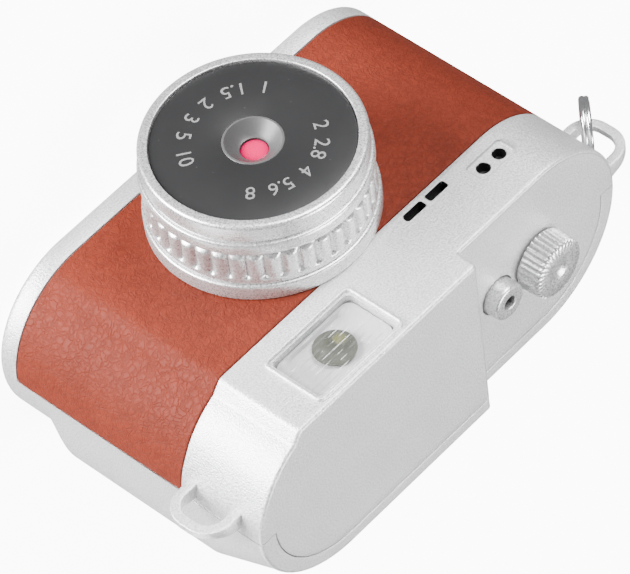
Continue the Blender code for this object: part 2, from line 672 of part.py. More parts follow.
def lens_stack():
    """Make the lens from its base ring out to the front element, and what sits inside it."""
    foot = lens_foot()
    sleeve_top = BEZEL_BASE + RIDGE_HEIGHT
    sleeve_foot = -FRONT_DEPTH - SLEEVE_FOOT_Y
    bore = SLEEVE_RADIUS - SLEEVE_WALL
    base_top = SEAT + LENS_BASE_HEIGHT
    base = [
        (bore, sleeve_top),
        (SLEEVE_RADIUS, sleeve_top),
        (SLEEVE_RADIUS, base_top),
        (LENS_BASE_RADIUS, base_top),
        (LENS_BASE_RADIUS, SEAT),
        (SLEEVE_RADIUS, SEAT),
        (SLEEVE_RADIUS, sleeve_foot),
        (bore, sleeve_foot),
    ]
    smooth(turned("lens_base", foot, "-Y", base, SILVER))
    nut_top = -WALL - FIT
    nut_bore = SLEEVE_RADIUS + SEAT
    nut = [
        (nut_bore, nut_top),
        (NUT_RADIUS, nut_top),
        (NUT_RADIUS, nut_top - NUT_HEIGHT),
        (nut_bore, nut_top - NUT_HEIGHT),
    ]
    smooth(turned("lens_nut", foot, "-Y", nut, BLACK))
    grip_foot = foot + Vector((0, -GRIP_BASE, 0))
    grip = prism("lens_grip_ring", wavy_outline(GRIP_RADIUS, FLUTE_DEPTH, GRIP_FLUTES), grip_foot, "-Y",
                 GRIP_HEIGHT, SILVER)
    bore_foot = foot + Vector((0, GRIP_HEIGHT, 0))
    cut(grip, rod("grip_bore", bore_foot, "-Y", SLEEVE_RADIUS + SLIDE_FIT, 4 * GRIP_HEIGHT, steps=ROUND_STEPS))
    smooth(grip, 20)
    ridge_top = BEZEL_BASE + RIDGE_HEIGHT
    cap_bore = SLEEVE_RADIUS + FIT
    ledge = DISC_UNDER - SEAT
    groove = RIDGE_RADIUS - GROOVE_DEPTH
    bezel = [
        (cap_bore, ridge_top + FIT),
        (bore, ridge_top + FIT),
        (bore, ledge),
        (DISC_RADIUS + FIT, ledge),
        (DISC_RADIUS + FIT, LENS_TOP),
        (BEZEL_RADIUS - BEZEL_ROUND, LENS_TOP),
        (BEZEL_RADIUS, LENS_TOP - BEZEL_ROUND),
        (BEZEL_RADIUS, ridge_top + GROOVE_HEIGHT),
        (groove, ridge_top + GROOVE_HEIGHT),
        (groove, ridge_top),
        (RIDGE_RADIUS, ridge_top),
        (RIDGE_RADIUS, BEZEL_BASE),
        (cap_bore, BEZEL_BASE),
    ]
    smooth(turned("lens_bezel", foot, "-Y", bezel, SILVER))
    eye = CONE_RADIUS + FIT
    disc = [(eye, DISC_TOP), (DISC_RADIUS, DISC_TOP), (DISC_RADIUS, DISC_UNDER), (eye, DISC_UNDER)]
    smooth(turned("lens_disc", foot, "-Y", disc, BLACK))
    throat = PUPIL_RADIUS + SEAT
    cone_foot = DISC_TOP - CONE_DEPTH - CONE_TUBE
    cone = [
        (throat, DISC_TOP - CONE_DEPTH),
        (CONE_RADIUS - CONE_RIM, DISC_TOP),
        (CONE_RADIUS, DISC_TOP),
        (CONE_RADIUS, cone_foot),
        (throat, cone_foot),
    ]
    smooth(turned("lens_cone", foot, "-Y", cone, GREY, steps=32))
    pupil_top = DISC_TOP - CONE_DEPTH
    pupil = [(0.0, pupil_top)]
    pupil += [(PUPIL_RADIUS * t, pupil_top - PUPIL_DOME * t * t) for t in (0.35, 0.7, 1.0)]
    pupil += [(PUPIL_RADIUS, pupil_top - PUPIL_THICK), (0.0, pupil_top - PUPIL_THICK)]
    smooth(turned("lens_pupil", foot, "-Y", pupil, COATED, steps=24))
    module_front = foot.y - cone_foot + SEAT
    half = MODULE_SIDE / 2
    low = (LENS_X - half, module_front, LENS_Z - half)
    high = (LENS_X + half, module_front + MODULE_LENGTH, LENS_Z + half)
    box("camera_module", low, high, BLACK, SWITCH_ROUND)
    board_foot = (LENS_X, high[1] + SEAT + SENSOR_BOARD_THICK, LENS_Z)
    rod("sensor_board", board_foot, "-Y", bore - FIT, SENSOR_BOARD_THICK, GREEN, 32)
    flex_z = LENS_Z - FLEX_DROP
    flex_low = (LENS_X - FLEX_WIDTH / 2, board_foot[1] + SEAT, flex_z)
    flex_high = (LENS_X + FLEX_WIDTH / 2, BOARD_FRONT_Y - SEAT, flex_z + FLEX_THICK)
    box("camera_flex", flex_low, flex_high, AMBER)


def flash_opening():
    """Return the width and height of the hole in the front wall for the flash."""
    return FLASH_WIDTH - 2 * FLASH_BORDER, FLASH_HEIGHT - 2 * FLASH_BORDER


def flash():
    """Make the flash from its raised border back to its board."""
    width, height = flash_opening()
    border = rounded_rectangle(FLASH_WIDTH, FLASH_HEIGHT, FLASH_CORNER)
    foot = Vector((FLASH_X, -FRONT_DEPTH - SEAT, FLASH_Z))
    frame = prism("flash_border", border, foot, "-Y", FLASH_BORDER_RISE, SILVER)
    corner = FLASH_CORNER - FLASH_BORDER / 2
    cut(frame, prism("flash_border_hole", rounded_rectangle(width, height, corner), foot + Vector((0, WALL, 0)),
                     "-Y", 3 * WALL))
    pane = rounded_rectangle(width - 2 * FIT, height - 2 * FIT, corner)
    glass_back = foot.y - FLASH_BORDER_RISE + FIT + FLASH_GLASS_THICK
    prism("flash_window", pane, (FLASH_X, glass_back, FLASH_Z), "-Y", FLASH_GLASS_THICK, CLEAR)
    tray_back = glass_back + FIT + FLASH_TRAY_DEPTH
    tray = prism("flash_tray", pane, (FLASH_X, tray_back, FLASH_Z), "-Y", FLASH_TRAY_DEPTH, WHITE)
    inset = 2 * (FIT + FLASH_TRAY_WALL)
    room = rounded_rectangle(width - inset, height - inset, corner - FLASH_TRAY_WALL)
    floor = tray_back - FLASH_TRAY_WALL
    cut(tray, prism("flash_tray_room", room, (FLASH_X, floor, FLASH_Z), "-Y", 2 * FLASH_TRAY_DEPTH))
    half = LED_SIDE / 2
    led_low = (FLASH_X - half, floor - SEAT - LED_THICK, FLASH_Z - half)
    box("flash_led", led_low, (FLASH_X + half, floor - SEAT, FLASH_Z + half), PHOSPHOR, SWITCH_ROUND)
    board_back = tray_back + SEAT + FLASH_BOARD_THICK
    prism("flash_board", pane, (FLASH_X, board_back, FLASH_Z), "-Y", FLASH_BOARD_THICK, GREEN)


def sound():
    """Make the speaker behind the two round holes and the microphone behind the slots."""
    back = -FRONT_DEPTH + WALL + FIT + SPEAKER_DEPTH
    rod("speaker", (PANEL_X, back, PANEL_Z), "-Y", SPEAKER_RADIUS, SPEAKER_DEPTH, BLACK, 32)
    half = (SLOT_PITCH + SLOT_WIDTH) / 2
    front = -FRONT_DEPTH + WALL + FIT
    low = (SLOT_X - half, front, SLOT_Z - MIC_HEIGHT / 2)
    box("microphone", low, (SLOT_X + half, front + MIC_DEPTH, SLOT_Z + MIC_HEIGHT / 2), BLACK, SWITCH_ROUND)


def top_controls():
    """Make the dial with its clip, and the shutter button with its switch and board."""
    under = PLATE_HEIGHT - TOP_WALL
    dial_foot = Vector((DIAL_X, CONTROL_Y, PLATE_HEIGHT + DIAL_LIFT))
    teeth = wavy_outline(DIAL_RADIUS, TOOTH_DEPTH, DIAL_TEETH)
    dial = prism("mode_dial", teeth, dial_foot, "Z", DIAL_HEIGHT, SILVER)
    clip_top = under - FIT
    clip_low = clip_top - CLIP_THICK
    head_low = clip_low - FIT - AXLE_HEAD_THICK
    axle_foot = Vector((DIAL_X, CONTROL_Y, head_low))
    axle_length = dial_foot.z + DIAL_HEIGHT / 2 - head_low
    add(dial, rod("dial_axle", axle_foot, "Z", AXLE_RADIUS, axle_length))
    add(dial, rod("dial_axle_head", axle_foot, "Z", AXLE_RADIUS + AXLE_HEAD, AXLE_HEAD_THICK))
    dimple = dial_foot + Vector((0, 0, DIAL_HEIGHT - DIMPLE_DEPTH))
    cut(dial, rod("dial_dimple", dimple, "Z", DIMPLE_RADIUS, TOP_WALL, steps=20))
    smooth(dial, 20)
    bore = AXLE_RADIUS + SEAT
    clip = [(bore, clip_top), (CLIP_RADIUS, clip_top), (CLIP_RADIUS, clip_low), (bore, clip_low)]
    smooth(turned("dial_clip", (DIAL_X, CONTROL_Y, 0.0), "Z", clip, BRIGHT, steps=24))
    top = PLATE_HEIGHT + BUTTON_RISE
    hole_floor = top - BUTTON_HOLE_DEPTH
    flange_top = under - FIT
    flange_low = flange_top - BUTTON_FLANGE_THICK
    button = [
        (0.0, hole_floor),
        (BUTTON_HOLE_RADIUS, hole_floor),
        (BUTTON_HOLE_RADIUS, top),
        (BUTTON_RADIUS, top),
        (BUTTON_RADIUS, flange_top),
        (BUTTON_RADIUS + BUTTON_FLANGE, flange_top),
        (BUTTON_RADIUS + BUTTON_FLANGE, flange_low),
        (0.0, flange_low),
    ]
    smooth(turned("shutter_button", (BUTTON_X, CONTROL_Y, 0.0), "Z", button, SILVER, steps=32))
    switch_top = flange_low - BUTTON_TRAVEL - SEAT
    half = SWITCH_SIDE / 2
    low = (BUTTON_X - half, CONTROL_Y - half, switch_top - SWITCH_HEIGHT)
    box("shutter_switch", low, (BUTTON_X + half, CONTROL_Y + half, switch_top), BLACK, SWITCH_ROUND)
    board_top = low[2] - SEAT
    reach = TOP_BOARD_LENGTH / 2
    board_low = (BUTTON_X - reach, CONTROL_Y - TOP_BOARD_REACH, board_top - TOP_BOARD_THICK)
    box("top_board", board_low, (BUTTON_X + reach, CONTROL_Y + TOP_BOARD_REACH, board_top), GREEN)


def key_places():
    """Return each rear key's name and place: a diamond beside the screen."""
    return (
        ("key_up", KEY_X, SCREEN_Z + KEY_PITCH),
        ("key_down", KEY_X, SCREEN_Z - KEY_PITCH),
        ("key_mode", KEY_X + KEY_PITCH, SCREEN_Z),
        ("key_power", KEY_X - KEY_PITCH, SCREEN_Z),
    )


def back_controls():
    """Make the screen with its window, and the rear keys with their switches."""
    pane = rounded_rectangle(SCREEN_WIDTH - 2 * FIT, SCREEN_HEIGHT - 2 * FIT, SCREEN_CORNER)
    pane_front = BULGE_DEPTH - SCREEN_SINK - SCREEN_WINDOW_THICK
    prism("screen_window", pane, (SCREEN_X, pane_front, SCREEN_Z), "Y", SCREEN_WINDOW_THICK, GLASS)
    half_width = SCREEN_WIDTH / 2 + DISPLAY_MARGIN
    half_height = SCREEN_HEIGHT / 2 + DISPLAY_MARGIN
    back = BACK_INNER - FIT
    low = (SCREEN_X - half_width, back - DISPLAY_THICK, SCREEN_Z - half_height)
    box("display_panel", low, (SCREEN_X + half_width, back, SCREEN_Z + half_height), BLACK)
    flange_back = BACK_INNER - FIT
    flange_front = flange_back - KEY_FLANGE_THICK
    switch_back = BOARD_BACK_Y + SEAT + KEY_SWITCH_DEPTH
    key_foot = switch_back + KEY_TRAVEL + SEAT
    for name, x, z in key_places():
        key = [
            (0.0, BULGE_DEPTH + KEY_RISE),
            (KEY_RADIUS, BULGE_DEPTH + KEY_RISE),
            (KEY_RADIUS, flange_back),
            (KEY_RADIUS + KEY_FLANGE, flange_back),
            (KEY_RADIUS + KEY_FLANGE, flange_front),
            (KEY_RADIUS, flange_front),
            (KEY_RADIUS, key_foot),
            (0.0, key_foot),
        ]
        smooth(turned(name, (x, 0.0, z), "Y", key, BLACK, steps=24))
        half = SWITCH_SIDE / 2
        low = (x - half, BOARD_BACK_Y + SEAT, z - half)
        box(name + "_switch", low, (x + half, switch_back, z + half), GREY, SWITCH_ROUND)


def electronics():
    """Make the main board, the battery, the card with its socket, and the charging port."""
    side = HALF - BOARD_INSET
    low = (-side, BOARD_FRONT_Y, BOARD_LOW)
    box("main_board", low, (side, BOARD_BACK_Y, BOARD_HIGH), GREEN)
    right = HALF - BATTERY_INSET
    low = (right - BATTERY_WIDTH, SLEEVE_FOOT_Y + BATTERY_GAP, BATTERY_LOW)
    box("battery", low, (right, BOARD_FRONT_Y - BATTERY_GAP, BATTERY_HIGH), FOIL, BATTERY_ROUND)
    outer = -HALF + CARD_SINK
    half_thick = CARD_THICK / 2
    half_width = CARD_WIDTH / 2
    low = (outer, CARD_Y - half_thick, CARD_Z - half_width)
    box("memory_card", low, (outer + CARD_LENGTH, CARD_Y + half_thick, CARD_Z + half_width), BLACK)
    room_thick = half_thick + SLIDE_FIT
    room_width = half_width + SLIDE_FIT
    socket_mouth = -HALF + WALL + FIT
    socket_end = outer + CARD_LENGTH + FIT
    low = (socket_mouth, CARD_Y - room_thick - SOCKET_WALL, CARD_Z - room_width - SOCKET_WALL)
    high = (socket_end + SOCKET_WALL, CARD_Y + room_thick + SOCKET_WALL, CARD_Z + room_width + SOCKET_WALL)
    socket = box("card_socket", low, high, BRIGHT)
    room_low = (socket_mouth - WALL, CARD_Y - room_thick, CARD_Z - room_width)
    cut(socket, box("card_room", room_low, (socket_end, CARD_Y + room_thick, CARD_Z + room_width)))
    shell = rounded_rectangle(PORT_WIDTH, PORT_DEPTH, PORT_DEPTH / 2 - FIT)
    port = prism("usb_port", shell, (PORT_X, PORT_Y, PORT_SINK), "Z", PORT_HEIGHT, BRIGHT)
    inside = 2 * PORT_SHELL
    mouth = rounded_rectangle(PORT_WIDTH - inside, PORT_DEPTH - inside, PORT_DEPTH / 2 - FIT - PORT_SHELL)
    cut(port, prism("port_mouth", mouth, (PORT_X, PORT_Y, PORT_SINK - WALL), "Z", PORT_MOUTH + WALL))


def screws():
    """Make the two case screws at the foot of the back, with crossed drive slots."""
    for name, side in (("case_screw_left", 1), ("case_screw_right", -1)):
        top = RIM_DEPTH - SCREW_SINK
        under = top - SCREW_HEAD_THICK
        foot = (side * SCREW_X, 0.0, SCREW_Z)
        profile = [
            (0.0, top),
            (SCREW_HEAD_RADIUS, top),
            (SCREW_HEAD_RADIUS, under),
            (SCREW_RADIUS, under),
            (SCREW_RADIUS, top - SCREW_LENGTH),
            (0.0, top - SCREW_LENGTH),
        ]
        screw = turned(name, foot, "Y", profile, BRIGHT, steps=16)
        reach = 0.7 * SCREW_HEAD_RADIUS
        for turn, (wide, tall) in enumerate(((reach, SCREW_DRIVE / 2), (SCREW_DRIVE / 2, reach))):
            low = (foot[0] - wide, top - SCREW_HEAD_THICK / 2, SCREW_Z - tall)
            cut(screw, box("%s_slot_%d" % (name, turn), low, (foot[0] + wide, top + WALL, SCREW_Z + tall)))
        smooth(screw)


def ring_frame():
    """Return the split ring's place and turn: round the low outer corner of the right lug."""
    corner_x = -(HALF + LUG_REACH - LUG_CORNER)
    corner_z = LUG_Z - LUG_HALF + LUG_CORNER
    reach = (LUG_CORNER - LUG_BAR / 2) / math.sqrt(2)
    bar_middle = (LUG_FRONT_Y - SEAM_GAP) / 2
    place = Matrix.Translation((corner_x - reach, bar_middle + RING_OFFSET_Y, corner_z - reach))
    return place @ Matrix.Rotation(math.radians(135), 4, "Y")


def split_ring():
    """Turn the split ring with a two-lobed section, one lobe for each turn of its wire."""
    apart = RING_OVERLAP * RING_WIRE
    meet = math.degrees(math.asin(RING_OVERLAP))
    section = arc((-RING_RADIUS, apart), RING_WIRE, -meet, 180 + meet, 6)
    section += arc((-RING_RADIUS, -apart), RING_WIRE, 180 - meet, 360 + meet, 6)[1:-1]
    profile = [(-x, z) for x, z in section]
    ring = turned("split_ring", (0.0, 0.0, 0.0), "Z", profile, BRIGHT, steps=32)
    ring.matrix_world = ring_frame()
    smooth(ring)


def main():
    front_shell()
    back_shell()
    leather_panels()
    lens_stack()
    flash()
    sound()
    top_controls()
    back_controls()
    electronics()
    screws()
    for name, side in (("strap_lug_left", 1), ("strap_lug_right", -1)):
        strap_lug(name, side, SILVER)
    split_ring()
    frame = bpy.data.objects.new("base_middle", None)
    PARTS.objects.link(frame)
    frame.location = (0.0, -BASE_MIDDLE_Y, 0.0)
    for piece in list(PARTS.objects) + list(TOOLS.objects):
        if piece != frame:
            piece.parent = frame


for old in list(bpy.data.objects):
    bpy.data.objects.remove(old)
PARTS = new_collection("thumb_camera")
TOOLS = new_collection("cutters")
main()
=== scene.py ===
"""Looks of a thumb-size digital camera in rangefinder dress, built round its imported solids.

Metres, +Z up, lens towards -Y. Each piece is a skin of closed rings: a row of points for every
place along the piece, worked out as whole arrays, with quads from each ring to the next.
"""

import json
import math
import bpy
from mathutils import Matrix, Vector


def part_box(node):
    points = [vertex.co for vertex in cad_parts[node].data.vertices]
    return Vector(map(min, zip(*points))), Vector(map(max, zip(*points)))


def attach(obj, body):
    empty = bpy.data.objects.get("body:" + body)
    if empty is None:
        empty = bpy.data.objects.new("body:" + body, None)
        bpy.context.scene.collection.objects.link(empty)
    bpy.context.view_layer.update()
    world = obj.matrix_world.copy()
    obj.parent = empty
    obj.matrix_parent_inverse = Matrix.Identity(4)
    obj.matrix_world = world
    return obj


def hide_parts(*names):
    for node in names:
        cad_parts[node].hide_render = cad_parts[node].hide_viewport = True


bl_info = {
    "name": "Thumb Camera Looks",
    "version": (1, 0, 0),
    "blender": (4, 5, 0),
    "location": "3D View > Sidebar > Thumb Camera",
    "description": "Dresses the packed thumb camera with its skins, finishes, light and view",
    "category": "Object",
}

from types import SimpleNamespace

import bmesh
import bpy
import numpy as np
from mathutils import Matrix, Vector

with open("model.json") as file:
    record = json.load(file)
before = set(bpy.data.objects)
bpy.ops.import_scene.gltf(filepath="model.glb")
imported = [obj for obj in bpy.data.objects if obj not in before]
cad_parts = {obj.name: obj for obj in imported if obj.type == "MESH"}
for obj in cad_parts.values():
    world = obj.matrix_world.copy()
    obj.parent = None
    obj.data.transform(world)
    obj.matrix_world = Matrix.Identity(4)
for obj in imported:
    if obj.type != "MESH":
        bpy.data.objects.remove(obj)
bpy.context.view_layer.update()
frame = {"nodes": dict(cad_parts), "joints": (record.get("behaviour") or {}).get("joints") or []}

MM = 0.001

# The case, from the frame
CASE_LOW, CASE_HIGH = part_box("front_shell")
BACK_LOW, BACK_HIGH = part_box("back_shell")
LEATHER_LOW, LEATHER_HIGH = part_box("leather_left")
HALF = CASE_HIGH.x
FRONT_Y = CASE_LOW.y
HUMP_Z = CASE_HIGH.z
BULGE_Y = BACK_HIGH.y
FRONT_EDGE_Y = LEATHER_HIGH.y
BACK_EDGE_Y = BACK_LOW.y
SEAM_Y = (FRONT_EDGE_Y + BACK_EDGE_Y) / 2

# The case, sizes that its boxes don't give
HUMP_RISE = 2.2 * MM
HUMP_EDGE_X = -4.45 * MM
HUMP_BLEND = 4.0 * MM
HUMP_DRAFT = 0.04 * MM
HUMP_FOOT = 0.2 * MM
RIM_DEPTH = 10.7 * MM
RIM_WIDTH = 2.0 * MM
BULGE_CORNER = 9.3 * MM
STEP_START = 5.0 * MM
STEP_RISE = 2.1 * MM
SLOPE_HEIGHT = 7.0 * MM
SLOPE_END = 0.5 * MM
RECESS = 0.55 * MM
RECESS_EDGE = 0.06 * MM
WALL = 1.5 * MM
FIT = 0.1 * MM
POCKET_WALL = 0.4 * MM
PLATE_Z = HUMP_Z - HUMP_RISE
SHELF_Z = STEP_START + STEP_RISE
SLOPE_Z = PLATE_Z - SLOPE_HEIGHT - SLOPE_END
RECESS_LOW = LEATHER_LOW.z - FIT
RECESS_HIGH = LEATHER_HIGH.z + FIT
FRONT_RADIUS = SEAM_Y - FRONT_Y
FRONT_STRAIGHT = HALF - FRONT_RADIUS
TOP_SEAM_Y = SEAM_Y + 0.35 * MM
SLAB_RADIUS = RIM_DEPTH - RIM_WIDTH + 0.05 * MM
SLAB_STRAIGHT = HALF - RIM_DEPTH
SLAB_Y = TOP_SEAM_Y + SLAB_RADIUS
SEAM_GAP = 0.05 * MM
TONGUE = 0.3 * MM
BEVEL_X = 18.65 * MM
BEVEL_TURN = 26.0
FAN_TURN = 50.0
END_RADIUS = 9.0 * MM
END_FLARE = 0.28 * MM
BULGE_STRAIGHT = BULGE_Y - SEAM_Y - BULGE_CORNER
FOOT_STRAIGHT = 14.0 * MM
FOOT_END = 23.0 * MM

# Pockets in the front, the top, the back and the base
PANEL = SimpleNamespace(
    x=-14.37 * MM,
    z=PLATE_Z - 4.7 * MM,
    width=4.5 * MM,
    height=2.2 * MM,
    corner=0.3 * MM,
    sink=0.22 * MM,
)
PANEL_HOLE = SimpleNamespace(pitch=2.12 * MM, radius=0.66 * MM, depth=1.2 * MM, edge=0.1 * MM)
SLOT = SimpleNamespace(
    x=HUMP_EDGE_X - 2.75 * MM,
    z=LEATHER_HIGH.z + 1.1 * MM,
    pitch=2.92 * MM,
    width=2.4 * MM,
    height=0.85 * MM,
    corner=0.26 * MM,
    depth=1.2 * MM,
)
FLASH_POCKET_DEPTH = 2.7 * MM
FLASH_POCKET_CORNER = 0.8 * MM
SCREEN_POCKET_DEPTH = 1.05 * MM
SCREEN_POCKET_CORNER = 1.0 * MM
CARD_SLOT_DEPTH = 1.3 * MM
CARD_SLOT_CORNER = 0.2 * MM
CARD_SLOT_EDGE = 0.05 * MM
PORT_DEPTH = 6.2 * MM
BUTTON_WELL = 1.98 * MM
DIAL_WELL = 1.12 * MM
TOP_WELL_DEPTH = 1.3 * MM
KEY_WELL = 1.64 * MM
KEY_WELL_DEPTH = 1.2 * MM
SCREW_WELL = 1.12 * MM
SCREW_WELL_DEPTH = 0.9 * MM
KEYS = {"key_up": "up", "key_down": "down", "key_mode": "mode", "key_power": "power"}
LED_SHIFT = Vector((0.1, 0.0, 0.2)) * MM
PHOSPHOR_SHIFT = Vector((-1.0, 0.0, -0.3)) * MM
FLASH_SHIFT = Vector((0.2, 0.0, 0.27)) * MM
FLASH_GROWTH = Vector((0.7, 0.0, 0.7)) * MM
EDGE = 0.07 * MM
WELL_EDGE = 0.12 * MM

# Places on the lens axis
LENS_LOW, LENS_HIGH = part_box("lens_base")
LENS_X = (LENS_LOW.x + LENS_HIGH.x) / 2
LENS_Z = (LENS_LOW.z + LENS_HIGH.z) / 2
LENS_FOOT = (LENS_X, FRONT_Y, LENS_Z)

# Where walls count as facing front or rear: the normal along Y, and the corner's angle in radians
FRONT_FACING = -0.9
REAR_FACING = 1.25

# Stations: the plain step along a wall, the close one round a well, the least that is kept, how near points
# merge, and the reach of the zones with close steps
STEP = 0.9 * MM
CLOSE = 0.12 * MM
CELL = 0.02 * MM
MERGE = 0.0005 * MM
PANEL_STEP = 0.06 * MM
RIM_STEP = 0.8 * MM
PANEL_ZONE = 0.8 * MM
BUTTON_ZONE = 2.2 * MM
KEY_ZONE = 1.7 * MM
SCREW_ZONE = 1.3 * MM
HUMP_END_X = HUMP_EDGE_X - HUMP_DRAFT - HUMP_FOOT - CELL

# How dark the paint is made along fine lines, from 0 to 1 (painted shade on the panel's sunk outline, a plain
# darker line along the plate's front edge), and how far the plate's line fades
PANEL_OUTLINE_SHADE = 0.5
PLATE_LINE = 0.6
PLATE_LINE_WIDTH = 0.1 * MM

# The photograph's view: places in metres, focal length and sensor width in millimetres
EYE = Vector((0.194724, -0.348490, 0.232899))
TARGET = Vector((0.000856, -0.000778, 0.016093))
ROLL = math.radians(122.321)
LENS_LENGTH = 290.759
SENSOR_WIDTH = 36.0

# The studio: floor and soft boxes in metres, with each box's place, width and power in watts
FLOOR_REACH = 4.0
FLOOR_DROP = 0.02 * MM
SKY_STRENGTH = 0.3
LIGHT_AIM = (0.0, 0.0, 0.015)
SOFT_BOXES = {
    "key_box": ((0.5, -0.34, -0.33), 0.5, 32.0),
    "front_box": ((-0.2, -0.6, 0.14), 0.32, 9.5),
    "top_box": ((-0.1, 0.1, 0.6), 0.3, 6.6),
    "back_box": ((0.4, 0.5, 0.04), 0.4, 4.0),
}


def size(node):
    """Return a node's middle and its extent along each axis."""
    low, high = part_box(node)
    return (low + high) / 2, high - low


class ThumbCameraSizes(bpy.types.PropertyGroup):
    """Sizes of the edges and patterns that the skins add to the solids."""

    edge_round: bpy.props.FloatProperty(
        name="Edge round", description="Radius of the case's upper edges", default=0.32 * MM, unit="LENGTH"
    )
    base_round: bpy.props.FloatProperty(
        name="Base round", description="Radius of the case's lower edges", default=0.7 * MM, unit="LENGTH"
    )
    seam_round: bpy.props.FloatProperty(
        name="Seam round", description="Radius of the edges along the seam", default=0.06 * MM, unit="LENGTH"
    )
    hump_round: bpy.props.FloatProperty(
        name="Hump round",
        description="Radius of the raised top's side edge",
        default=0.45 * MM,
        unit="LENGTH",
    )
    leather_round: bpy.props.FloatProperty(
        name="Leather round",
        description="Radius of the leatherette's edges",
        default=0.18 * MM,
        unit="LENGTH",
    )
    flutes: bpy.props.IntProperty(name="Flutes", description="Ribs round the lens grip", default=40)
    flute_depth: bpy.props.FloatProperty(
        name="Flute depth", description="Depth between the grip's ribs", default=0.4 * MM, unit="LENGTH"
    )
    teeth: bpy.props.IntProperty(name="Teeth", description="Teeth round the dial", default=36)
    tooth_depth: bpy.props.FloatProperty(
        name="Tooth depth", description="Depth between the dial's teeth", default=0.2 * MM, unit="LENGTH"
    )
    pane_ribs: bpy.props.IntProperty(name="Pane ribs", description="Ribs across the flash window", default=9)
    pane_rib_height: bpy.props.FloatProperty(
        name="Pane rib height",
        description="Height of the flash window's ribs",
        default=0.1 * MM,
        unit="LENGTH",
    )
    number_height: bpy.props.FloatProperty(
        name="Number height",
        description="Height of the numbers on the lens",
        default=1.95 * MM,
        unit="LENGTH",
    )
    grain: bpy.props.FloatProperty(
        name="Leather grain",
        description="Width of the leatherette's pebbles",
        default=0.62 * MM,
        unit="LENGTH",
    )


class ThumbCameraColours(bpy.types.PropertyGroup):
    """Base colours of the finishes."""

    silver: bpy.props.FloatVectorProperty(
        name="Silver paint", description="Case paint", subtype="COLOR", default=(0.7, 0.7, 0.705)
    )
    leather: bpy.props.FloatVectorProperty(
        name="Leatherette",
        description="Covering of the front",
        subtype="COLOR",
        default=(0.115, 0.0175, 0.0088),
    )
    disc: bpy.props.FloatVectorProperty(
        name="Lens disc", description="Face of the lens", subtype="COLOR", default=(0.0125, 0.0125, 0.013)
    )
    numbers: bpy.props.FloatVectorProperty(
        name="Numbers", description="Numbers on the lens", subtype="COLOR", default=(0.15, 0.15, 0.15)
    )
    pupil: bpy.props.FloatVectorProperty(
        name="Lens coating", description="Front element", subtype="COLOR", default=(0.6, 0.0, 0.085)
    )


class Socket:
    """A shader socket that stands in sums: each operator adds one Math node to its tree."""

    def __init__(self, tree, link=None):
        self.tree = tree
        self.link = link

    def node(self, kind, settings=None, sockets=None, out=0):
        """Add a node of a kind, set its settings and then its sockets, and return one output."""
        made = self.tree.nodes.new(kind)
        for name, value in (settings or {}).items():
            if name == "stops":
                while len(made.color_ramp.elements) < len(value):
                    made.color_ramp.elements.new(0.5)
                for element, (place, colour) in zip(made.color_ramp.elements, value):
                    element.position = place
                    element.color = (*colour, 1.0)
            else:
                setattr(made, name, value)
        for name, value in (sockets or {}).items():
            if isinstance(value, Socket):
                self.tree.links.new(value.link, made.inputs[name])
            else:
                made.inputs[name].default_value = value
        return Socket(self.tree, made.outputs[out] if made.outputs else None)

    def math(self, operation, first, second):
        """Add a Math node on two values."""
        return self.node("ShaderNodeMath", {"operation": operation}, {0: first, 1: second})

    def __add__(self, other):
        return self.math("ADD", self, other)

    def __radd__(self, other):
        return self.math("ADD", other, self)

    def __sub__(self, other):
        return self.math("SUBTRACT", self, other)

    def __rsub__(self, other):
        return self.math("SUBTRACT", other, self)

    def __mul__(self, other):
        return self.math("MULTIPLY", self, other)

    def __rmul__(self, other):
        return self.math("MULTIPLY", other, self)

    def __pow__(self, other):
        return self.math("POWER", self, other)


def finish(name, recipe, *values):
    """Return a new material whose recipe gives the Principled shader's socket values and links."""
    material = bpy.data.materials.new(name)
    material.use_nodes = True
    tree = material.node_tree
    tree.nodes.clear()
    desk = Socket(tree)
    shader = desk.node("ShaderNodeBsdfPrincipled", None, recipe(desk, *values), "BSDF")
    desk.node("ShaderNodeOutputMaterial", None, {"Surface": shader})
    return material


def places(desk):
    """Return the piece's own coordinates."""
    return desk.node("ShaderNodeTexCoord", out="Object")


def noise(desk, width, detail=2.0, roughness=0.5):
    """Return soft noise whose lumps are about so wide."""
    sockets = {"Vector": places(desk), "Scale": 1.0 / width, "Detail": detail, "Roughness": roughness}
    return desk.node("ShaderNodeTexNoise", None, sockets, "Fac")


def blend(desk, share, first, second):
    """Return a colour between two by a share."""
    sockets = {"Factor": share, 6: first, 7: second}
    return desk.node("ShaderNodeMix", {"data_type": "RGBA"}, sockets, 2)


def shade(colour, factor):
    """Return a colour with alpha, made lighter or darker."""
    return (*[min(1.0, part * factor) for part in colour], 1.0)


def relief(desk, height, depth):
    """Return a normal that shows a height, where 1 stands so deep."""
    return desk.node("ShaderNodeBump", None, {"Height": height, "Distance": depth}, "Normal")


def boost(desk, value, low, high):
    """Return a value stretched so that low becomes 0 and high becomes 1."""
    settings = {"interpolation_type": "SMOOTHSTEP"}
    sockets = {"Value": value, "From Min": low, "From Max": high}
    return desk.node("ShaderNodeMapRange", settings, sockets, "Result")


def cells(desk, feature, scale, place=None):
    """Return a distance in a pattern of cells, so many to the metre."""
    sockets = {"Vector": place or places(desk), "Scale": scale}
    return desk.node("ShaderNodeTexVoronoi", {"feature": feature}, sockets, "Distance")


def vector(desk, operation, first, second):
    """Return the sum, difference or product of two vectors."""
    return desk.node("ShaderNodeVectorMath", {"operation": operation}, {0: first, 1: second})


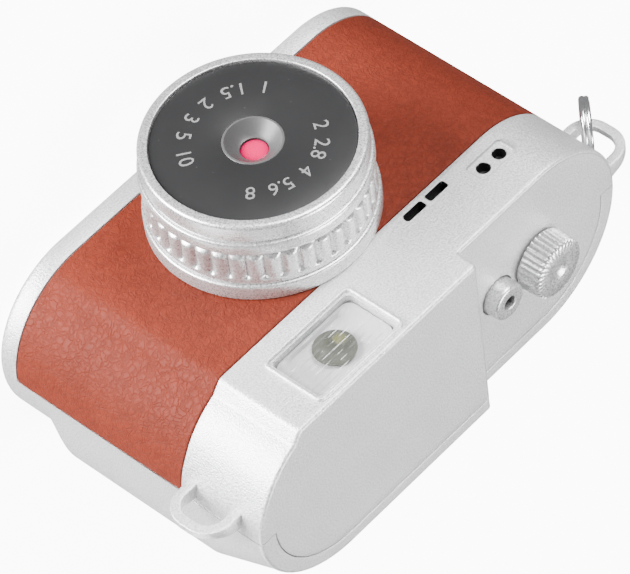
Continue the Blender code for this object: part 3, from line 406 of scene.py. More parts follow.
def silver_paint(desk, colour, metal, rough, tooth):
    """Metal paint: bright flakes a sixth of a millimetre wide, faint wider clouds, and painted shade: near
    black and without metal as far as the bore mark says.
    """
    flakes = boost(desk, noise(desk, 0.17 * MM, 2.0, 0.6), 0.3, 0.7)
    clouds = noise(desk, 5.0 * MM)
    share = flakes * 0.7 + clouds * 0.3
    # Painted shade: the bore mark blends the paint to near black in holes and slots and along fine lines
    bore = desk.node("ShaderNodeAttribute", {"attribute_name": "bore"}, None, "Fac")
    paint = blend(desk, share, shade(colour, 0.66), shade(colour, 1.2))
    return {
        "Base Color": blend(desk, bore, paint, (0.004, 0.004, 0.004, 1.0)),
        "Metallic": metal - bore * metal,
        "Roughness": flakes * 0.16 + rough,
        "Normal": relief(desk, flakes, tooth),
    }


def leatherette(desk, colour, grain):
    """Grained leatherette: creases that wander between pebbles of many sizes, wrinkles and pores."""
    sockets = {"Vector": places(desk), "Scale": 0.7 / grain, "Detail": 4.0}
    warp = desk.node("ShaderNodeTexNoise", None, sockets, "Color")
    shifted = desk.node("ShaderNodeVectorMath", {"operation": "SCALE"}, {0: warp, "Scale": 2.6 * grain})
    bent = vector(desk, "ADD", places(desk), shifted)
    crease = boost(desk, cells(desk, "DISTANCE_TO_EDGE", 1.0 / grain, bent), 0.0, 0.22)
    small = cells(desk, "SMOOTH_F1", 2.2 / grain, bent)
    wrinkles = noise(desk, 0.9 * MM, 5.0, 0.62)
    pores = noise(desk, 0.14 * MM, 3.0, 0.65)
    clouds = noise(desk, 7.0 * MM, 4.0)
    height = crease * 0.3 + (1.0 - small) * 0.25 + wrinkles * 0.6 + pores * 0.2
    # Colour follows the grain's height, darker in creases and low wrinkles: painted shade, mixed with random
    # clouds of tone
    tone_and_crease_shade = boost(desk, wrinkles * 0.5 + clouds * 0.35 + crease * 0.1 + pores * 0.15, 0.3, 0.8)
    return {
        "Base Color": blend(desk, tone_and_crease_shade, shade(colour, 0.78), shade(colour, 1.2)),
        "Roughness": 0.62 - crease * 0.08,
        "Normal": relief(desk, height, 0.1 * MM),
        "Specular IOR Level": 0.1,
    }


def bright_steel(desk):
    """Polished steel with fine rubbing."""
    rubbed = noise(desk, 0.3 * MM, 4.0, 0.7)
    return {
        "Base Color": blend(desk, rubbed, (0.72, 0.73, 0.74, 1.0), (0.9, 0.9, 0.91, 1.0)),
        "Metallic": 1.0,
        "Roughness": rubbed * 0.16 + 0.1,
        "Normal": relief(desk, rubbed, 0.002 * MM),
    }


def moulded(desk, colour, rough):
    """Moulded plastic with a fine spark-eroded grain."""
    grain = noise(desk, 0.09 * MM, 2.0, 0.6)
    clouds = noise(desk, 3.0 * MM)
    return {
        "Base Color": blend(desk, grain * 0.5 + clouds * 0.5, shade(colour, 0.85), shade(colour, 1.15)),
        "Roughness": grain * 0.14 + (rough - 0.07),
        "Normal": relief(desk, grain, 0.004 * MM),
    }


def lens_face(desk, colour):
    """Smooth black face with a few specks of dust."""
    speck = boost(desk, cells(desk, "F1", 1.0 / (1.4 * MM)), 0.05, 0.02)
    clouds = noise(desk, 2.0 * MM, 3.0)
    return {
        "Base Color": blend(desk, speck * 0.2, shade(colour, 1.0), (0.2, 0.2, 0.2, 1.0)),
        "Roughness": clouds * 0.08 + 0.3,
        "Specular IOR Level": 0.42,
    }


def ink(desk, colour):
    """Pale printing ink, a little uneven."""
    uneven = noise(desk, 0.12 * MM, 3.0)
    return {
        "Base Color": blend(desk, uneven, shade(colour, 0.85), shade(colour, 1.1)),
        "Roughness": uneven * 0.1 + 0.45,
    }


def from_axis(desk, x, z):
    """Return the distance from an axis that runs along Y."""
    flat = vector(desk, "MULTIPLY", vector(desk, "SUBTRACT", places(desk), (x, 0.0, z)), (1.0, 0.0, 1.0))
    return desk.node("ShaderNodeVectorMath", {"operation": "LENGTH"}, {0: flat}, "Value")


def coated_glass(desk, colour):
    """Coated front element: bright in the middle and deeper at its edge."""
    reach = from_axis(desk, LENS_X, LENS_Z) * (1.0 / (1.25 * MM))
    haze = noise(desk, 0.5 * MM)
    return {
        "Base Color": blend(desk, reach**6.0 + haze * 0.1, shade(colour, 1.0), shade(colour, 0.5)),
        "Roughness": haze * 0.06 + 0.12,
        "Specular IOR Level": 0.08,
    }


def clear_plastic(desk, low, pitch):
    """Clear ribbed pane: mostly see-through, with painted highlights as whiter lines between its ribs and
    painted shade as grey bands along some of them.
    """
    cloudy = noise(desk, 0.8 * MM, 3.0)
    height = desk.node("ShaderNodeSeparateXYZ", None, {"Vector": places(desk)}, "Z")
    streak = desk.node("ShaderNodeMath", {"operation": "PINGPONG"}, {0: height - low, 1: pitch / 2})
    # Painted highlight: more opaque milky lines in the grooves between the ribs
    line = boost(desk, streak, 0.1 * pitch, 0.02 * pitch)
    patches = boost(desk, noise(desk, 1.3 * MM), 0.48, 0.62)
    # Painted shade: grey bands in the middle of some ribs
    grey = boost(desk, streak, 0.34 * pitch, 0.46 * pitch) * boost(desk, noise(desk, 2.1 * MM), 0.4, 0.6)
    milky = blend(desk, cloudy, (0.5, 0.51, 0.52, 1.0), (0.7, 0.71, 0.72, 1.0))
    return {
        "Base Color": blend(desk, grey, milky, (0.1, 0.1, 0.1, 1.0)),
        "Roughness": cloudy * 0.08 + 0.1,
        "Alpha": cloudy * 0.03 + line * patches * 0.4 + grey * 0.16,
    }


def led_phosphor(desk, x, z):
    """Flash emitter: a yellow patch inside a grey-green ring."""
    reach = from_axis(desk, x, z) * (1.0 / (2.1 * MM))
    grain = noise(desk, 0.15 * MM, 3.0)
    stops = [
        (0.0, (0.11, 0.11, 0.034)),
        (0.3, (0.085, 0.085, 0.03)),
        (0.42, (0.036, 0.038, 0.028)),
        (1.0, (0.05, 0.053, 0.041)),
    ]
    rings = desk.node("ShaderNodeValToRGB", {"stops": stops}, {"Fac": reach + grain * 0.12}, "Color")
    return {"Base Color": rings, "Roughness": grain * 0.15 + 0.35, "Specular IOR Level": 0.15}


def board_green(desk):
    """Circuit board: green mask over paler tracks."""
    tracks = desk.node(
        "ShaderNodeTexBrick",
        {"offset": 0.35},
        {
            "Vector": places(desk),
            "Scale": 1.0 / (2.4 * MM),
            "Mortar Size": 0.02,
            "Color1": (0.012, 0.13, 0.05, 1.0),
            "Color2": (0.01, 0.1, 0.04, 1.0),
            "Mortar": (0.05, 0.26, 0.09, 1.0),
        },
        "Color",
    )
    grain = noise(desk, 0.2 * MM)
    return {"Base Color": tracks, "Roughness": grain * 0.15 + 0.35}


def screen_glass(desk):
    """Black glass over a dark screen, with a faint cloud."""
    cloud = noise(desk, 4.0 * MM, 3.0)
    return {
        "Base Color": blend(desk, cloud, (0.006, 0.007, 0.009, 1.0), (0.014, 0.015, 0.019, 1.0)),
        "Roughness": cloud * 0.05 + 0.05,
        "Coat Weight": 0.5,
        "Coat Roughness": 0.03,
    }


def settle(shape, mesh):
    """Merge a shape's doubles, turn its faces outward and put it into a mesh."""
    bmesh.ops.remove_doubles(shape, verts=shape.verts, dist=MERGE)
    bmesh.ops.recalc_face_normals(shape, faces=shape.faces)
    shape.to_mesh(mesh)
    shape.free()


def shown(name, data):
    """Return a new object of the scene with this data."""
    made = bpy.data.objects.new(name, data)
    bpy.context.scene.collection.objects.link(made)
    return made


def closed_piece(name, points, faces, sharp=35.0, bore=None):
    """Make a piece from points and faces: doubles merged, faces outward, round faces smooth.
    Bore says for each point how much painted shade it gets, from 0 to 1: the dark of a hole, or a darker
    line."""
    mesh = bpy.data.meshes.new(name)
    mesh.from_pydata(points.tolist(), [], faces)
    if bore is not None:
        mark = mesh.attributes.new("bore", "FLOAT", "POINT")
        mark.data.foreach_set("value", bore.astype(np.float32).ravel())
    shape = bmesh.new()
    shape.from_mesh(mesh)
    settle(shape, mesh)
    mesh.shade_smooth()
    mesh.set_sharp_from_angle(angle=math.radians(sharp))
    return shown(name, mesh)


def loft(name, rings, wrap=False, caps=False, sharp=35.0, bore=None):
    """Skin closed rings, an array of ring by point by axis: quads to the next ring, and flat ends if
    asked."""
    count, around = rings.shape[:2]
    ring = np.arange(count if wrap else count - 1)[:, None]
    spot = np.arange(around)[None, :]
    near = ring * around
    far = ((ring + 1) % count) * around
    turn = (spot + 1) % around
    quads = np.stack([near + spot, near + turn, far + turn, far + spot], axis=-1)
    faces = quads.reshape(-1, 4).tolist()
    if caps:
        faces.append(list(range(around)))
        faces.append(list(range((count - 1) * around, count * around)))
    return closed_piece(name, rings.reshape(-1, 3), faces, sharp, bore)


def dress(piece, body, slot, material, *nodes):
    """Give a piece its finish, the body it rides on and the nodes it stands for; slot is not used."""
    piece.data.materials.append(material)
    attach(piece, body)
    if nodes:
        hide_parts(*nodes)


def rounded(points, radius, closed=True, steps=5):
    """Round an outline's corners: a corner C between points A and B on its sides becomes the parabola
    (1-s)^2 A + 2s(1-s) C + s^2 B, which starts and ends along the sides."""
    corner = np.asarray(points, float)
    reach = np.broadcast_to(np.asarray(radius, float), len(corner)).copy()
    if not closed:
        reach[[0, -1]] = 0.0
    before = np.roll(corner, 1, axis=0) - corner
    after = np.roll(corner, -1, axis=0) - corner
    length_before = np.maximum(np.linalg.norm(before, axis=1), CELL)
    length_after = np.maximum(np.linalg.norm(after, axis=1), CELL)
    start = corner + before * np.minimum(reach / length_before, 0.48)[:, None]
    end = corner + after * np.minimum(reach / length_after, 0.48)[:, None]
    s = np.linspace(0.0, 1.0, steps)[None, :, None]
    curve = (1 - s) ** 2 * start[:, None] + 2 * s * (1 - s) * corner[:, None] + s**2 * end[:, None]
    return curve.reshape(-1, 2)


def turned(name, foot, axis, profile, steps=128, cut=None, sharp=35.0, bore=None):
    """Turn a (radius, height) profile round an axis through foot: the point at angle a is radius times
    (cos a, sin a) across the axis and height along it. Where cut is given, it takes arrays of angle, height
    and radius and returns how much the radius gives way. A profile that starts on the axis has closed
    poles."""
    profile = np.asarray(profile, float)
    angle = np.linspace(0.0, math.tau, steps, endpoint=False)[None, :]
    radius = np.broadcast_to(profile[:, :1], (len(profile), steps))
    height = np.broadcast_to(profile[:, 1:], (len(profile), steps))
    if cut:
        radius = radius - cut(angle + 0 * height, height, radius)
    across = radius * np.cos(angle)
    along = radius * np.sin(angle)
    turn = {
        "-Y": (across, -height, along),
        "Y": (across, height, along),
        "Z": (across, along, height),
    }[axis]
    rings = np.stack(turn, axis=-1) + np.array(foot)
    if bore is not None:
        bore = np.repeat(bore, steps)
    return loft(name, rings, wrap=profile[0][0] > 0.0, sharp=sharp, bore=bore)


def spread(start, end, step, zones=(), edges=()):
    """Return rising stations from start to end: even ones, closer ones in zones, and given edges."""
    runs = [np.asarray(edges, float), [start, end], np.arange(start, end, step)]
    runs += [np.arange(low, high, close) for low, high, close in zones]
    found = np.sort(np.concatenate(runs))
    found = found[(found >= start) & (found <= end)]
    keep = np.concatenate([[True], np.diff(found) > CELL])
    return found[keep]


def closer(middle, reach, step=CLOSE):
    """Return a zone of closer stations round a middle."""
    return middle - reach, middle + reach, step


def as_shares(zone, start, span):
    """Return a zone's ends and step as shares of a span."""
    low, high, step = zone
    return (low - start) / span, (high - start) / span, step / span


def ease(value):
    """Blend smoothly from 0 to 1: 3v^2 - 2v^3 of the clipped value."""
    value = np.clip(value, 0.0, 1.0)
    return value * value * (3.0 - 2.0 * value)


def sunk(across, up, middle, half, corner, depth, edge=EDGE):
    """Return the depth of a round-cornered pocket: its signed distance is the length of the positive parts
    of |p - middle| - (half - corner), less the corner, and the depth is full once that is edge inside."""
    beyond_x = np.abs(across - middle[0]) - (half[0] - corner)
    beyond_z = np.abs(up - middle[1]) - (half[1] - corner)
    outside = np.hypot(np.maximum(beyond_x, 0.0), np.maximum(beyond_z, 0.0))
    distance = outside + np.minimum(np.maximum(beyond_x, beyond_z), 0.0) - corner
    return depth * np.clip(-distance / edge, 0.0, 1.0)


def well(across, up, middle, radius, depth):
    """Return the depth of a round pocket with a soft edge."""
    return sunk(across, up, middle, (radius, radius), radius, depth, WELL_EDGE)


def around_edges(middle, half, corner):
    """Return the stations that a pocket needs across one side: both edges and some in its corners."""
    inward = np.array([-EDGE, 0.0, EDGE, corner * 0.35, corner * 0.7, corner])
    return np.concatenate([middle - half + inward, middle + half - inward])


def flash_place(node):
    """Return a flash node's middle and extent, grown to the photographed flash."""
    middle, extent = size(node)
    return middle + FLASH_SHIFT, extent + FLASH_GROWTH


def front_holes(x, z, grow=0.0, deeper=0.0):
    """Return how deep the front wall's round holes and slots are, grown for the inner side."""
    depth = 0.0 * x
    radius = PANEL_HOLE.radius + grow
    half = (SLOT.width / 2 + grow, SLOT.height / 2 + grow)
    for side in (-0.5, 0.5):
        place = (PANEL.x + side * PANEL_HOLE.pitch, PANEL.z)
        hole = sunk(x, z, place, (radius, radius), radius, PANEL_HOLE.depth + deeper, PANEL_HOLE.edge)
        place = (SLOT.x + side * SLOT.pitch, SLOT.z)
        slot = sunk(x, z, place, half, SLOT.corner + grow, SLOT.depth + deeper)
        depth = np.maximum(depth, np.maximum(hole, slot))
    return depth


def panel_pocket(x, z, grow=0.0, deeper=0.0):
    """Return how deep the front wall is sunk for the two-hole panel."""
    half = (PANEL.width / 2 + grow, PANEL.height / 2 + grow)
    return sunk(x, z, (PANEL.x, PANEL.z), half, PANEL.corner + grow, PANEL.sink + deeper)


def front_pockets(x, z, grow=0.0, deeper=0.0):
    """Return how deep the front wall is sunk: flash, two-hole panel, holes and slots."""
    middle, extent = flash_place("flash_tray")
    half = (extent.x / 2 + FIT + grow, extent.z / 2 + FIT + grow)
    corner = FLASH_POCKET_CORNER + grow
    depth = sunk(x, z, (middle.x, middle.z), half, corner, FLASH_POCKET_DEPTH + deeper)
    depth = np.maximum(depth, panel_pocket(x, z, grow, deeper))
    return np.maximum(depth, front_holes(x, z, grow, deeper))


def front_painted_shade(x, z):
    """Return the front's painted shade: full in holes and slots, and part along the panel's sunk outline,
    which lies inside the panel's edge when grown and outside it when shrunk."""
    rim = (panel_pocket(x, z, 0.03 * MM) > 0.0) & (panel_pocket(x, z, -0.05 * MM) <= 0.0)
    return np.where(front_holes(x, z, 0.02 * MM) > 0.0, 1.0, np.where(rim, PANEL_OUTLINE_SHADE, 0.0))


def top_pockets(x, y):
    """Return how deep the top plate is sunk: round the shutter button and under the dial."""
    depth = 0.0 * x
    for name, radius in (("shutter_button", BUTTON_WELL), ("mode_dial", DIAL_WELL)):
        middle, _ = size(name)
        depth = np.maximum(depth, well(x, y, (middle.x, middle.y), radius, TOP_WELL_DEPTH))
    return depth


def hump_side(corner):
    """Return the top line over the raised top's side, from right to left, as x, z and outward normal:
    a quarter round, a nearly upright wall and a quarter hollow at its foot."""
    turn = np.radians(np.linspace(90, 180, 9))
    x = HUMP_EDGE_X + corner + corner * np.cos(turn)
    z = HUMP_Z - corner + corner * np.sin(turn)
    normal_x, normal_z = np.cos(turn), np.sin(turn)
    share = np.linspace(0, 1, 6)[1:-1]
    wall_x = HUMP_EDGE_X - HUMP_DRAFT * share
    wall_z = (HUMP_Z - corner) + (PLATE_Z + HUMP_FOOT - HUMP_Z + corner) * share
    bend = np.radians(np.linspace(0, -90, 7))
    centre_x = HUMP_EDGE_X - HUMP_DRAFT - HUMP_FOOT
    foot_x = centre_x + HUMP_FOOT * np.cos(bend)
    foot_z = PLATE_Z + HUMP_FOOT + HUMP_FOOT * np.sin(bend)
    return (
        np.concatenate([x, wall_x, foot_x]),
        np.concatenate([z, wall_z, foot_z]),
        np.concatenate([normal_x, 0 * share - 1.0, -np.cos(bend)]),
        np.concatenate([normal_z, 0 * share, -np.sin(bend)]),
    )


def slab_edge(x, beyond, gap):
    """Return the point on the top plate's rear outline for stations along x, and its outward normal.
    Stations past the outline's straight part go round its arc by their share of beyond, from 0 to 1."""
    turn = (1.0 - np.clip(beyond, 0.0, 1.0)) * math.pi / 2
    side = np.sign(x)
    bent = np.abs(x) > SLAB_STRAIGHT
    radius = SLAB_RADIUS + gap
    edge_x = np.where(bent, side * (SLAB_STRAIGHT + radius * np.cos(turn)), x)
    edge_y = TOP_SEAM_Y + np.where(bent, radius * np.sin(turn), radius)
    normal_x = np.where(bent, side * np.cos(turn), 0.0)
    normal_y = np.where(bent, np.sin(turn), 1.0)
    return edge_x, edge_y, normal_x, normal_y


def foot_line(x):
    """Return where a column's foot meets the seam under the base: straight above, drawn in at the ends."""
    drawn = FOOT_STRAIGHT + (np.abs(x) - FOOT_STRAIGHT) * (FOOT_END - FOOT_STRAIGHT) / (HALF - FOOT_STRAIGHT)
    return np.where(np.abs(x) < FOOT_STRAIGHT, x, np.sign(x) * drawn)


def seam_at(height):
    """Return the seam's place along Y: it lies further back above the leatherette."""
    return np.where(np.asarray(height) > RECESS_HIGH, TOP_SEAM_Y, SEAM_Y)


def bevelled_end(crown, crease):
    """Return the plan of the +X end from the seam to the flat front, as points and outward normals: an arc
    that flares towards the seam, a hollow crease, a bevel, a round crown and the flat."""
    turn = np.radians(np.linspace(90, BEVEL_TURN + 4, 26))
    radius = END_RADIUS + END_FLARE * ease((turn - math.radians(60)) / math.radians(30))
    arc = np.stack([FRONT_STRAIGHT + radius * np.sin(turn), SEAM_Y - radius * np.cos(turn)], axis=-1)
    low = math.radians(BEVEL_TURN)
    foot = (FRONT_STRAIGHT + END_RADIUS * math.sin(low), SEAM_Y - END_RADIUS * math.cos(low))
    corners = [arc[-1], foot, (BEVEL_X, FRONT_Y), (FRONT_STRAIGHT + CELL, FRONT_Y)]
    bevel = rounded(corners, [0.0, crease, crown, 0.0], False, 9)
    flat = np.linspace(BEVEL_X - crown, FRONT_STRAIGHT + 2 * CELL, 5)[1:-1]
    between = np.stack([flat, 0 * flat + FRONT_Y], axis=-1)
    path = np.concatenate([arc, bevel[9:-9], between, corners[-1:]])
    path = path[np.concatenate([[True], np.linalg.norm(np.diff(path, axis=0), axis=1) > 0.5 * CELL])]
    along = np.gradient(path, axis=0)
    along /= np.linalg.norm(along, axis=1)[:, None]
    normal = np.stack([-along[:, 1], along[:, 0]], axis=-1)
    normal[0] = (1.0, 0.0)
    normal[path[:, 1] < FRONT_Y + 0.1 * CELL] = (0.0, -1.0)
    return path, normal


def front_plan(bevel, straight, left):
    """Return the front's plan from the +X end to the -X end: points, outward normals, how far each has turned
    from the flat, and the points and normals of the plain arc. Bevel gives the +X end's points and normals,
    straight the places along the flat, and left the angles round the -X end."""
    end, end_normal = bevel
    x = np.concatenate([end[:, 0], straight, -FRONT_STRAIGHT - FRONT_RADIUS * np.cos(left)])
    y = np.concatenate([end[:, 1], 0 * straight + FRONT_Y, SEAM_Y - FRONT_RADIUS * np.sin(left)])
    turn = np.arctan2(np.maximum(np.abs(x) - FRONT_STRAIGHT, 0.0), SEAM_Y - y)
    return SimpleNamespace(
        x=x,
        y=y,
        nx=np.concatenate([end_normal[:, 0], 0 * straight, -np.cos(left)]),
        ny=np.concatenate([end_normal[:, 1], 0 * straight - 1.0, -np.sin(left)]),
        turn=turn,
        arc_x=np.where(turn > 0, np.sign(x) * (FRONT_STRAIGHT + FRONT_RADIUS * np.sin(turn)), x),
        arc_y=SEAM_Y - FRONT_RADIUS * np.cos(turn),
        arc_nx=np.sign(x) * np.sin(turn),
        arc_ny=-np.cos(turn),
    )


def top_line(high, step, low):
    """Return the top line's height and normal: so many stations on the raised top, its side, and so many on
    the plate."""
    _, step_z, step_nx, step_nz = step
    return SimpleNamespace(
        z=np.concatenate([np.full(high, HUMP_Z), step_z, np.full(low, PLATE_Z)]),
        tx=np.concatenate([np.zeros(high), step_nx, np.zeros(low)]),
        tz=np.concatenate([np.ones(high), step_nz, np.ones(low)]),
    )


def front_columns(sizes):
    """Return the front's upright stations from the +X end to the -X end: plan point, plan normal, inner
    point, the height and normal of the top line, and where the wall under the round edge ends."""
    corner = sizes.hump_round
    flash, flash_size = flash_place("flash_tray")
    button, _ = size("shutter_button")
    bevel = bevelled_end(0.45 * MM, 0.2 * MM)
    edges = around_edges(flash.x, flash_size.x / 2 + FIT, FLASH_POCKET_CORNER)
    straight_right = spread(HUMP_EDGE_X + corner + CELL, FRONT_STRAIGHT, STEP, (), edges)[::-1]
    slots = [SLOT.x + side * SLOT.pitch for side in (-0.5, 0.5)]
    edges = [around_edges(PANEL.x, PANEL.width / 2, PANEL.corner)]
    edges += [around_edges(slot, SLOT.width / 2, SLOT.corner) for slot in slots]
    zones = [(-FRONT_STRAIGHT, PANEL.x + 2.0 * MM, PANEL_STEP), closer(button.x, BUTTON_ZONE)]
    straight_left = spread(-FRONT_STRAIGHT, HUMP_END_X, STEP, zones, np.concatenate(edges))[::-1]
    left = np.radians(np.concatenate([np.linspace(89.65, 84, 16), np.linspace(80, 0, 24)]))
    step = hump_side(corner)
    c = front_plan(bevel, np.concatenate([straight_right, step[0], straight_left]), left)
    inner = FRONT_RADIUS - WALL
    c.inner_x = np.where(c.turn > 0, np.sign(c.x) * (FRONT_STRAIGHT + inner * np.sin(c.turn)), c.x)
    c.inner_y = SEAM_Y - inner * np.cos(c.turn)
    c.last = np.isin(np.arange(len(c.x)), (0, len(c.x) - 1))
    top = top_line(len(bevel[0]) + len(straight_right), step, len(straight_left) + len(left))
    vars(c).update(vars(top))
    c.edge = sizes.edge_round
    c.wall_x = c.x - c.tx * c.edge
    c.wall_top = c.z - c.tz * c.edge
    c.under = np.minimum(c.z, c.wall_top + c.edge) - WALL
    c.facing = c.ny < FRONT_FACING
    return c


def join(x, y, z):
    """Return points from their three coordinates, spread to one length."""
    return np.stack(np.broadcast_arrays(x, y, z), axis=-1)


def quarter(steps):
    """Return sines and cosines over a quarter turn, ends left out."""
    turn = np.linspace(0.0, math.pi / 2, steps + 2)[1:-1]
    return list(zip(np.sin(turn), np.cos(turn)))


def before_seam(c, y, height):
    """Return places along Y held before the seam, with the two end stations on it."""
    limit = seam_at(height) - SEAM_GAP
    return np.where(c.last, limit, np.minimum(y, limit))


def front_wall(c, inset, height):
    """Return a row of the bevelled wall, set in along its normal."""
    return join(c.wall_x - c.nx * inset, before_seam(c, c.y - c.ny * inset, height), height)


def front_foot(c, inset, height):
    """Return a row of the plain wall under the bevel, set in along its normal."""
    x = c.arc_x - c.tx * c.edge - c.arc_nx * inset
    return join(x, before_seam(c, c.arc_y - c.arc_ny * inset, height), height)


def front_inside(c, depth, height):
    """Return a row of the inner side, at least so deep behind the flat front."""
    y = np.where(c.facing, np.maximum(c.inner_y, FRONT_Y + depth), c.inner_y)
    return join(c.inner_x - c.tx * c.edge, before_seam(c, y, height), height)


def front_base_rows(c, low_round):
    """Return the rows from the seam forward under the base, round its edge and over the leatherette's
    recess, which has a soft edge below and above."""
    foot = join(foot_line(c.arc_x - c.tx * c.edge), FRONT_EDGE_Y, 0.0)
    brink = front_foot(c, low_round, 0.0)
    rows = [foot + (brink - foot) * share for share in np.linspace(0, 1, 6)]
    for sine, cosine in quarter(5):
        rows.append(front_foot(c, low_round * (1 - sine), low_round * (1 - cosine)))
    soft = RECESS_EDGE
    mild = 0.3 * RECESS_EDGE
    below = [(0.0, low_round), (0.0, RECESS_LOW - soft), (mild, RECESS_LOW - mild)]
    below += [(soft, RECESS_LOW), (RECESS, RECESS_LOW)]
    above = [(RECESS, RECESS_HIGH), (soft, RECESS_HIGH), (mild, RECESS_HIGH + mild)]
    rows += [front_foot(c, inset, height) for inset, height in below]
    return rows + [front_wall(c, inset, height) for inset, height in above]


def front_heights(c):
    """Return the heights of the wall's rows over the recess: even shares of the way to the round edge,
    closer ones at the two-hole panel, and the edges of the pockets."""
    flash, flash_size = flash_place("flash_tray")
    start = RECESS_HIGH + RECESS_EDGE
    plate_span = PLATE_Z - c.edge - start
    hump_span = HUMP_Z - c.edge - start
    slot_edges = around_edges(SLOT.z, SLOT.height / 2, SLOT.corner)
    panel_edges = around_edges(PANEL.z, PANEL.height / 2, PANEL.corner)
    flash_edges = around_edges(flash.z, flash_size.z / 2 + FIT, FLASH_POCKET_CORNER)
    spans = (slot_edges, plate_span), (panel_edges, plate_span), (flash_edges, hump_span)
    edges = np.concatenate([(stations - start) / span for stations, span in spans])
    zone = as_shares(closer(PANEL.z, PANEL_ZONE, PANEL_STEP), start, plate_span)
    shares = spread(0.0, 1.0, 0.06, [zone], edges)
    shares = shares[np.concatenate([[True], np.diff(shares) > 0.003])]
    return [start + (c.wall_top - start) * share for share in shares]


def front_edge_rows(c):
    """Return the rows of the round edge, a quarter circle from the wall to the top line."""
    rows = []
    for sine, cosine in quarter(5):
        inset = c.edge * (1 - cosine)
        lift = c.edge * (1 - sine)
        height = c.z - c.tz * lift
        y = before_seam(c, c.y - c.ny * inset, height)
        rows.append(join(c.x - c.nx * inset - c.tx * lift, y, height))
    return rows


def front_top_rows(c, roll):
    """Return the rows back over the top plate, sunk at its wells, and down its rolled rear edge."""
    over = np.maximum(np.abs(c.x) - SLAB_STRAIGHT, 0.0)
    over = np.minimum(over, FRONT_STRAIGHT - SLAB_STRAIGHT) + FRONT_RADIUS * c.turn
    whole = FRONT_STRAIGHT - SLAB_STRAIGHT + FRONT_RADIUS * math.radians(FAN_TURN)
    edge_x, edge_y, edge_nx, edge_ny = slab_edge(c.x, over / whole, 0.0)
    brink_y = TOP_SEAM_Y - SEAM_GAP
    edge_y = np.maximum(edge_y, brink_y)
    near = join(c.x - c.nx * c.edge, before_seam(c, c.y - c.ny * c.edge, c.z), c.z)
    far = join(edge_x - edge_nx * roll, np.maximum(edge_y - edge_ny * roll, brink_y), c.z)
    button, _ = size("shutter_button")
    start = FRONT_Y + c.edge
    span = SLAB_Y - roll - start
    shares = spread(0.0, 1.0, 0.08, [as_shares(closer(button.y, BUTTON_ZONE), start, span)])
    rows = []
    for share in [0.0, PLATE_LINE_WIDTH / span, *shares[1:]]:
        row = near + (far - near) * share
        row[:, 2] -= top_pockets(row[:, 0], row[:, 1])
        rows.append(row)
    for sine, cosine in quarter(3):
        reach = roll * (1 - sine)
        y = np.maximum(edge_y - edge_ny * reach, brink_y)
        rows.append(join(edge_x - edge_nx * reach, y, c.z - roll * (1 - cosine)))
    return rows + [join(edge_x, edge_y, c.z - roll), join(edge_x, edge_y, c.under)]


def front_skin(sizes):
    """Skin the front shell. Each upright station of the plan is one closed ring of points: from the seam
    forward under the base, up the wall with the leatherette's recess and the pockets, round the edge,
    back over the top plate to its rear edge, and home along the inner side."""
    c = front_columns(sizes)
    heights = front_heights(c)
    rows = front_base_rows(c, sizes.base_round)
    first = len(rows)
    for height in heights:
        depth = np.where(c.facing, front_pockets(c.wall_x, height), 0.0)
        rows.append(front_wall(c, depth, height))
    rows += front_edge_rows(c)
    crease = len(rows)
    rows += front_top_rows(c, sizes.seam_round)
    for height in reversed(heights):
        level = np.minimum(height, c.under)
        rows.append(front_inside(c, front_pockets(c.wall_x, level, POCKET_WALL, POCKET_WALL), level))
    rows += [front_inside(c, WALL, height) for height in (RECESS_HIGH, RECESS_LOW, WALL)]
    rows.append(join(rows[0][:, 0], FRONT_EDGE_Y, WALL))
    # Painted shade on the holes, slots and the panel's sunk outline, and a plain darker line along the
    # plate's front edge
    bore = np.zeros((len(c.x), len(rows)))
    dark = [np.where(c.facing, front_painted_shade(c.wall_x, height), 0.0) for height in heights]
    bore[:, first : first + len(dark)] = np.stack(dark, axis=1)
    bore[c.z < PLATE_Z + 0.1 * CELL, crease] = PLATE_LINE
    return loft("front_skin", np.stack(rows, axis=1), caps=True, bore=bore)


